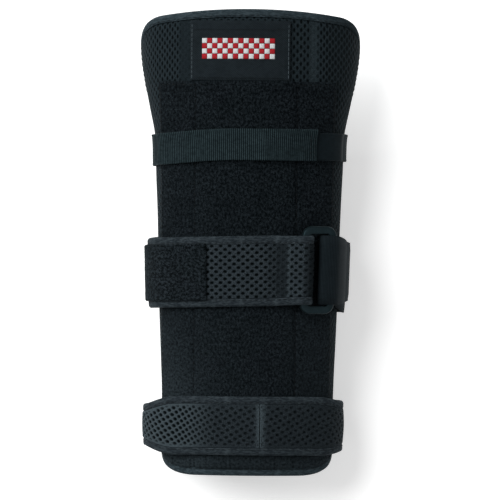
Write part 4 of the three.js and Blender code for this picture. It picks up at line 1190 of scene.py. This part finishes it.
hand = dict(
    centre=30.3, width=35.4, reach=4.4, narrowing=9.9, seam=7, seamGap=0.2, window=74, points=54,
    droop=(0.7, 28, 58), slack=5, slackFrom=30, narrowSpan=(42, 64), rightShare=0.45,
    skew=(0.985, 0.174), pulledSkew=(1.027, 0.205), pulledSpan=(-18, -38), drawnFrom=-20, drawn=(0.3, 0.16),
    openSpan=(-16, -40), opened=0.7, closedHoles=0.45, holeSink=0.85, crown=0.8, crownHalf=13, soft=0.16,
    ridge=(0.35, 0.9), seamWidth=2.2, threadRow=(0.65, 0.4, 2.1), dullingAndShade={-1: 0.4, 1: 0.55}, seamClean=0.8,
    grains=[(13, 1), (6, 0.5)], dullGrains=[(5, 1), (2.4, 1)], edgePress=(0.4, 2.4), seamPress=(0.25, 0.7),
    bandGap=0.2, stitchInset=3.5, seamRows=((6, 8), 1.85, 12.5),
)


def handLines(around):
    # the strap's path with its slack as a squared sine on the left, and how far it is drawn in
    _, _, heelEnd = girthOf(hand["centre"])
    off = np.clip((np.abs(around) - hand["slackFrom"]) / (heelEnd - hand["slackFrom"]), 0, 1)
    rise = np.where(around < 0, hand["slack"] * np.sin(math.pi * off) ** 2, 0)
    narrow = np.where(around < 0, 1, hand["rightShare"]) * smoothStep(*hand["narrowSpan"], np.abs(around))
    return np.stack([around, strapLift(around, hand["centre"], 2 * strapHalf) + rise], -1), narrow


def handLength(side):
    # relief: a crown across the mesh, a ridge at the seam and noise, sunk at the holes
    end = girthOf(hand["centre"])[0] - hand["seamGap"]
    around = stations(hand["seam"] + hand["seamGap"] * side, side * end, *meshSteps, hand["window"])
    path, narrow = handLines(around)
    across, out, top = meshSection(hand, narrow, np.ones(len(path)), hand["points"])
    run = around[:, None] + 0 * across
    # the mesh lies 10 degrees askew, and on the slack side it is also drawn together: p and q run
    # along its lattice, and each grows with both distances
    drawn = np.clip(hand["drawnFrom"] - run, 0, None)
    pulled = smoothStep(*hand["pulledSpan"], run)
    (cosine, sine), (pulledCosine, pulledSine) = hand["skew"], hand["pulledSkew"]
    p = cosine * run - hand["drawn"][0] * drawn - mix(sine, pulledSine, pulled) * across
    q = sine * run - hand["drawn"][1] * drawn + mix(cosine, pulledCosine, pulled) * across
    limit = strapWidth(hand, narrow) - hand["reach"] - hand["bandGap"] - np.abs(across)
    opened = smoothStep(*hand["openSpan"], run)
    nearSeam = hump(run, hand["seam"], hand["seamWidth"])
    pressed = np.maximum(1 - smoothStep(*hand["edgePress"], limit), smoothStep(*hand["seamPress"], nearSeam))
    holes = holeDepth(p, q, strapLattice, hand["opened"] * opened) * (1 - pressed)
    holes = holes * mix(hand["closedHoles"], 1, opened)
    ridge, ridgeWidth = hand["ridge"]
    relief = hand["crown"] * (1 - (across / hand["crownHalf"]) ** 2).clip(0, 1)
    relief = relief + ridge * hump(run, hand["seam"], ridgeWidth) - hand["holeSink"] * holes
    relief = relief + hand["soft"] * surfaceNoise(run, across, hand["grains"], 91)
    relief = relief * top * smoothStep(*meshFold["bandEase"], limit)
    rings = strapRings(path, hand["centre"], across, out, relief=relief)
    # darker where the mesh is not stretched open, more on the right length and less at the seam
    uneven = 0.85 + 0.15 * surfaceNoise(run, across, hand["dullGrains"], 95)
    dullingAndShade = hand["dullingAndShade"][side] * (1 - opened) * uneven * (1 - hand["seamClean"] * nearSeam)
    values = dict(dullingAndShade=dullingAndShade, pressed=pressed, opened=hand["opened"] * opened,
                  sewn=bellRule(hand["threadRow"], run - hand["seam"]))
    name = "hand_strap_left" if side < 0 else "hand_strap_right"
    return finish(tube(f"{name}_cloth", rings, np.stack([p, q], -1), strapMesh, values=values),
                  "strap_mesh", name)


def handBindings():
    # closed loops along both edges
    end = girthOf(hand["centre"])[0]
    path, narrow = handLines(stations(end, -end, *bandSteps, hand["window"])[:-1])
    for side, word, seed in ((1, "upper", 101), (-1, "lower", 103)):
        name = f"hand_binding_{word}"
        strapBinding(f"{name}_cloth", name, hand, path, narrow, np.ones(len(path)), side, seed, True)


# Stitches

stitch = dict(
    sides=6, shares=[0, 0.12, 0.5, 0.88, 1], dips=[-0.22, 0.04, 0.12, 0.04, -0.22],
    radii=[0.45, 0.9, 1, 0.9, 0.45],
    plain=dict(length=2.6, gap=0.9, radius=0.19), side=dict(length=2.4, gap=0.35, radius=0.25),
    fine=dict(length=2.2, gap=0.6, radius=0.15), seam=dict(length=2.0, gap=0.5, radius=0.17),
)


def threadRows(name, rows, material, kind="plain"):
    # each row is a line of points with normals; every stitch is a short capsule dipping at its ends
    length, gap, radius = (stitch[kind][key] for key in ("length", "gap", "radius"))
    sides, loops = stitch["sides"], len(stitch["shares"])
    turn, each = np.linspace(0, 2 * math.pi, sides + 1)[:-1], loops * sides
    points, quads, flat, first = [], [], [], 0
    for line, normals in rows:
        run = np.concatenate([[0], np.cumsum(np.linalg.norm(np.diff(line, axis=0), axis=1))]) * 1000
        starts = np.arange(gap, run[-1] - length, length + gap)
        count = len(starts)
        spots = (starts[:, None] + length * np.array(stitch["shares"])[None, :]).ravel()

        def sample(columns, places):
            return np.stack([np.interp(places, run, column) for column in columns.T], -1)

        up = sample(normals, spots)
        up /= np.linalg.norm(up, axis=1, keepdims=True)
        side = np.cross(sample(line, spots + 0.3) - sample(line, spots - 0.3), up)
        side /= np.linalg.norm(side, axis=1, keepdims=True) + 1e-12
        middle = sample(line, spots) + up * np.tile(stitch["dips"], count)[:, None] / 1000
        radii = np.tile(stitch["radii"], count)[:, None, None] * radius
        ring = middle[:, None, :] + radii / 1000 * (np.cos(turn)[None, :, None] * side[:, None, :]
                                                    + np.sin(turn)[None, :, None] * up[:, None, :])
        tips = middle.reshape(count, loops, 3)[:, (0, -1)]
        points.append(np.concatenate([ring.reshape(count, each, 3), tips], 1).reshape(-1, 3))
        k, last, tip = np.arange(sides), each - sides, np.full(sides, each)
        ends = np.concatenate([np.stack([k, (k + 1) % sides, tip, tip], 1),
                               np.stack([last + (k + 1) % sides, last + k, tip + 1, tip + 1], 1)])
        body = np.concatenate([gridQuads(loops, sides, closedColumns=True), ends])
        quads.append((body[None] + first + (each + 2) * np.arange(count)[:, None, None]).reshape(-1, 4))
        spots = spots.reshape(-1, loops)
        u = np.concatenate([np.repeat(spots, sides, axis=1), spots[:, (0, -1)]], 1)
        v = np.concatenate([np.tile(turn * radius, (count, loops)), np.zeros((count, 2))], 1)
        flat.append(np.stack([u, v], -1).reshape(-1, 2))
        first += (each + 2) * count
    quads = np.concatenate(quads)
    tips = quads[:, 2] == quads[:, 3]
    piece = makeMesh(name, np.concatenate(points), quads[~tips], np.concatenate(flat), [material],
                     quads[tips][:, :3])
    return finish(faceOut(piece), "binding")


def armRow(around, y, lift):
    # a line over the shell, with the direction away from it
    line = armPoint(around, y, lift)
    return line, (armPoint(around, y, np.asarray(lift) + 1) - line) * 1000


def strapRow(path, centre, across, out, relief):
    # a line along a strap, with the direction away from it
    across, out, relief = (np.zeros((len(path), 1)) + np.reshape(v, (-1, 1)) for v in (across, out, relief))
    line, above = (strapRings(path, centre, across, out + step, relief=relief)[:, 0] for step in (0, 1))
    return line, (above - line) * 1000


def shellStitches():
    # once round, along the inner edge of the binding
    around, y = sheetPlace(*shellEdge(), shellBand["stitchInset"])
    line, normals = armRow(around, y, shellBand["stitchLift"])
    row = (np.concatenate([line, line[:1]]), np.concatenate([normals, normals[:1]]))
    threadRows("binding_stitches", [row], thread)


def panelStitches():
    # along the top and both sides, and lower down in the two pocket seams
    left, right, top, inset = (panel[key] for key in ("left", "right", "top", "stitchInset"))
    edgeLift, seamLift = panel["edgeLift"], panel["seamLift"]
    rows = [armRow(np.linspace(left + 1.5, right - 1.5, 120), np.full(120, top - inset), edgeLift)]
    for around, lift in ((left + inset, edgeLift), (panel["leftSeam"], seamLift),
                         (panel["rightSeam"], seamLift), (right - inset, edgeLift)):
        bend = float(handRise(np.array(around), np.array(0.0), shellBand["reach"] + arm["gap"]))
        start = panel["stitchStart"] + bend
        rows.append(armRow(np.full(200, around), np.linspace(start, top - 2, 200), lift))
    threadRows("panel_stitches", rows, darkThread)


def labelStitches():
    # a close pale row down each side, and fine dark ones along the bottom and the hem
    left, right, bottom, top = (label[key] for key in ("left", "right", "bottom", "top"))
    inset, end, lift = (label["sideRow"][key] for key in ("inset", "end", "lift"))
    y = np.linspace(bottom + end, top - end, 60)
    rows = [armRow(np.full(60, around), y, lift) for around in (left + inset, right - inset)]
    threadRows("label_side_stitches", rows, paleThread, "side")
    around = np.linspace(left + 1, right - 1, 80)
    (up, upLift), (down, downLift) = label["bottomRow"], label["hemRow"]
    rows = [armRow(around, np.full(80, bottom + up), upLift),
            armRow(around, np.full(80, top - down), downLift)]
    threadRows("label_stitches", rows, darkThread, "fine")


def strapStitches():
    # along the inner edge of each binding of the two mesh straps
    lines, end = wristPath(bandSteps[0]), girthOf(hand["centre"])[0] - 1
    handPath, narrow = handLines(stations(end, -end, *bandSteps, hand["window"]))
    straps = ((wrist, lines[:, :2], lines[:, 3], lines[:, 2]), (hand, handPath, narrow, 1))
    rows = [strapRow(path, strap["centre"], side * (strapWidth(strap, drawn) - strap["stitchInset"]),
                     foldedBand["stitchLift"] * squeeze, foldedBand["stitchRelief"] * squeeze)
            for strap, path, drawn, squeeze in straps for side in (-1, 1)]
    threadRows("strap_stitches", rows, thread)


def seamStitches():
    # rows across the straps: the fold's two, the hand strap's and the webbing's end over the tape
    thick, rows = 2 * strapHalf, []
    over = tape["thickness"] + arm["gap"]
    for strap, thickness, snug, under in ((wrist, thick, False, 0), (hand, thick, False, 0),
                                          (webbing, webbing["thickness"], True, over)):
        places, height, reach = strap["seamRows"]
        for around in places:
            y = strap["centre"] + strapShift(around, strap["centre"]) + np.linspace(-reach, reach, 40)
            lift = float(strapLift(around, strap["centre"], thickness, snug)) + under + height
            line, above = (strapPoint(around, strap["centre"], y, lift + step) for step in (0, 1))
            rows.append((line, (above - line) * 1000))
    threadRows("seam_stitches", rows, thread, "seam")


shellPiece = supportShell()
shellBinding()
panelPiece = loopPanel()
labelPiece = labelPatch()
checks = labelChecks()
print("shell, panel and label made")
forearmTape()
forearmWebbing()
wristStrap()
wristBindings()
padPiece = wristPad()
wristTail()
strapRing()
handLength(-1)
handLength(1)
handBindings()
print("straps made")
shellStitches()
panelStitches()
labelStitches()
strapStitches()
seamStitches()
print("stitches made")


# Floor, lights and camera

def floorMaterial():
    # a studio's white light table: a little light of its own keeps the shadow soft
    material, tree, shader = newMaterial("opal acrylic light table")
    clouds = grain(tree, solidMillimetres(tree), 60, 3, limits=(0.3, 0.7))
    tone = tint(tree, hexColour("#F4F5F5"), "#FAFAFA", clouds)
    tree.links.new(tone, shader.inputs["Base Color"])
    shader.inputs["Roughness"].default_value = 0.9
    shader.inputs["Specular IOR Level"].default_value = 0.1
    shader.inputs["Emission Color"].default_value = (1, 1, 1, 1)
    shader.inputs["Emission Strength"].default_value = 0.4
    return material


def addFloor():
    # one square just under the straps
    half, z = 3.0, -0.0005
    points = [(x * half, y * half, z) for x, y in ((-1, -1), (1, -1), (1, 1), (-1, 1))]
    mesh = bpy.data.meshes.new("floor")
    mesh.from_pydata(points, [], [(0, 1, 2, 3)])
    mesh.materials.append(floorMaterial())
    floor = bpy.data.objects.new("floor", mesh)
    bpy.context.scene.collection.objects.link(floor)


def addArea(name, spot, size, power, target=(0, 0, 0.04)):
    # a round soft box that faces the target
    light = bpy.data.lights.new(name, "AREA")
    light.shape = "DISK"
    light.size = size
    light.energy = power
    lamp = bpy.data.objects.new(name, light)
    direction = np.array(target) - np.array(spot)
    lamp.location = spot
    lamp.rotation_euler = (math.atan2(math.hypot(direction[0], direction[1]), -direction[2]), 0,
                           math.atan2(direction[1], direction[0]) - math.pi / 2)
    bpy.context.scene.collection.objects.link(lamp)


addFloor()
addArea("key", (-1.5, 1.1, 2.0), 2.2, 90)
addArea("fill", (1.5, -0.4, 2.2), 1.8, 9)
world = bpy.data.worlds.new("studio")
bpy.context.scene.world = world
world.use_nodes = True
background = world.node_tree.nodes["Background"]
background.inputs["Color"].default_value = (1, 1, 1, 1)
background.inputs["Strength"].default_value = 0.3

# straight above, turned a little; the width is what the picture spans at the subject's height
view = dict(centre=(0.0008, -0.0041), height=3.06, subject=0.06, width=0.3002, roll=math.radians(0.52),
            sensor=36)
camera = bpy.data.objects.new("camera", bpy.data.cameras.new("camera"))
camera.data.sensor_width = view["sensor"]
camera.data.lens = view["sensor"] * (view["height"] - view["subject"]) / view["width"]
camera.data.clip_end = 20
camera.location = (*view["centre"], view["height"])
camera.rotation_euler = (0, 0, view["roll"])
bpy.context.scene.collection.objects.link(camera)
bpy.context.scene.camera = camera
bpy.context.scene.view_settings.view_transform = "Standard"
print("floor, lights and camera set")
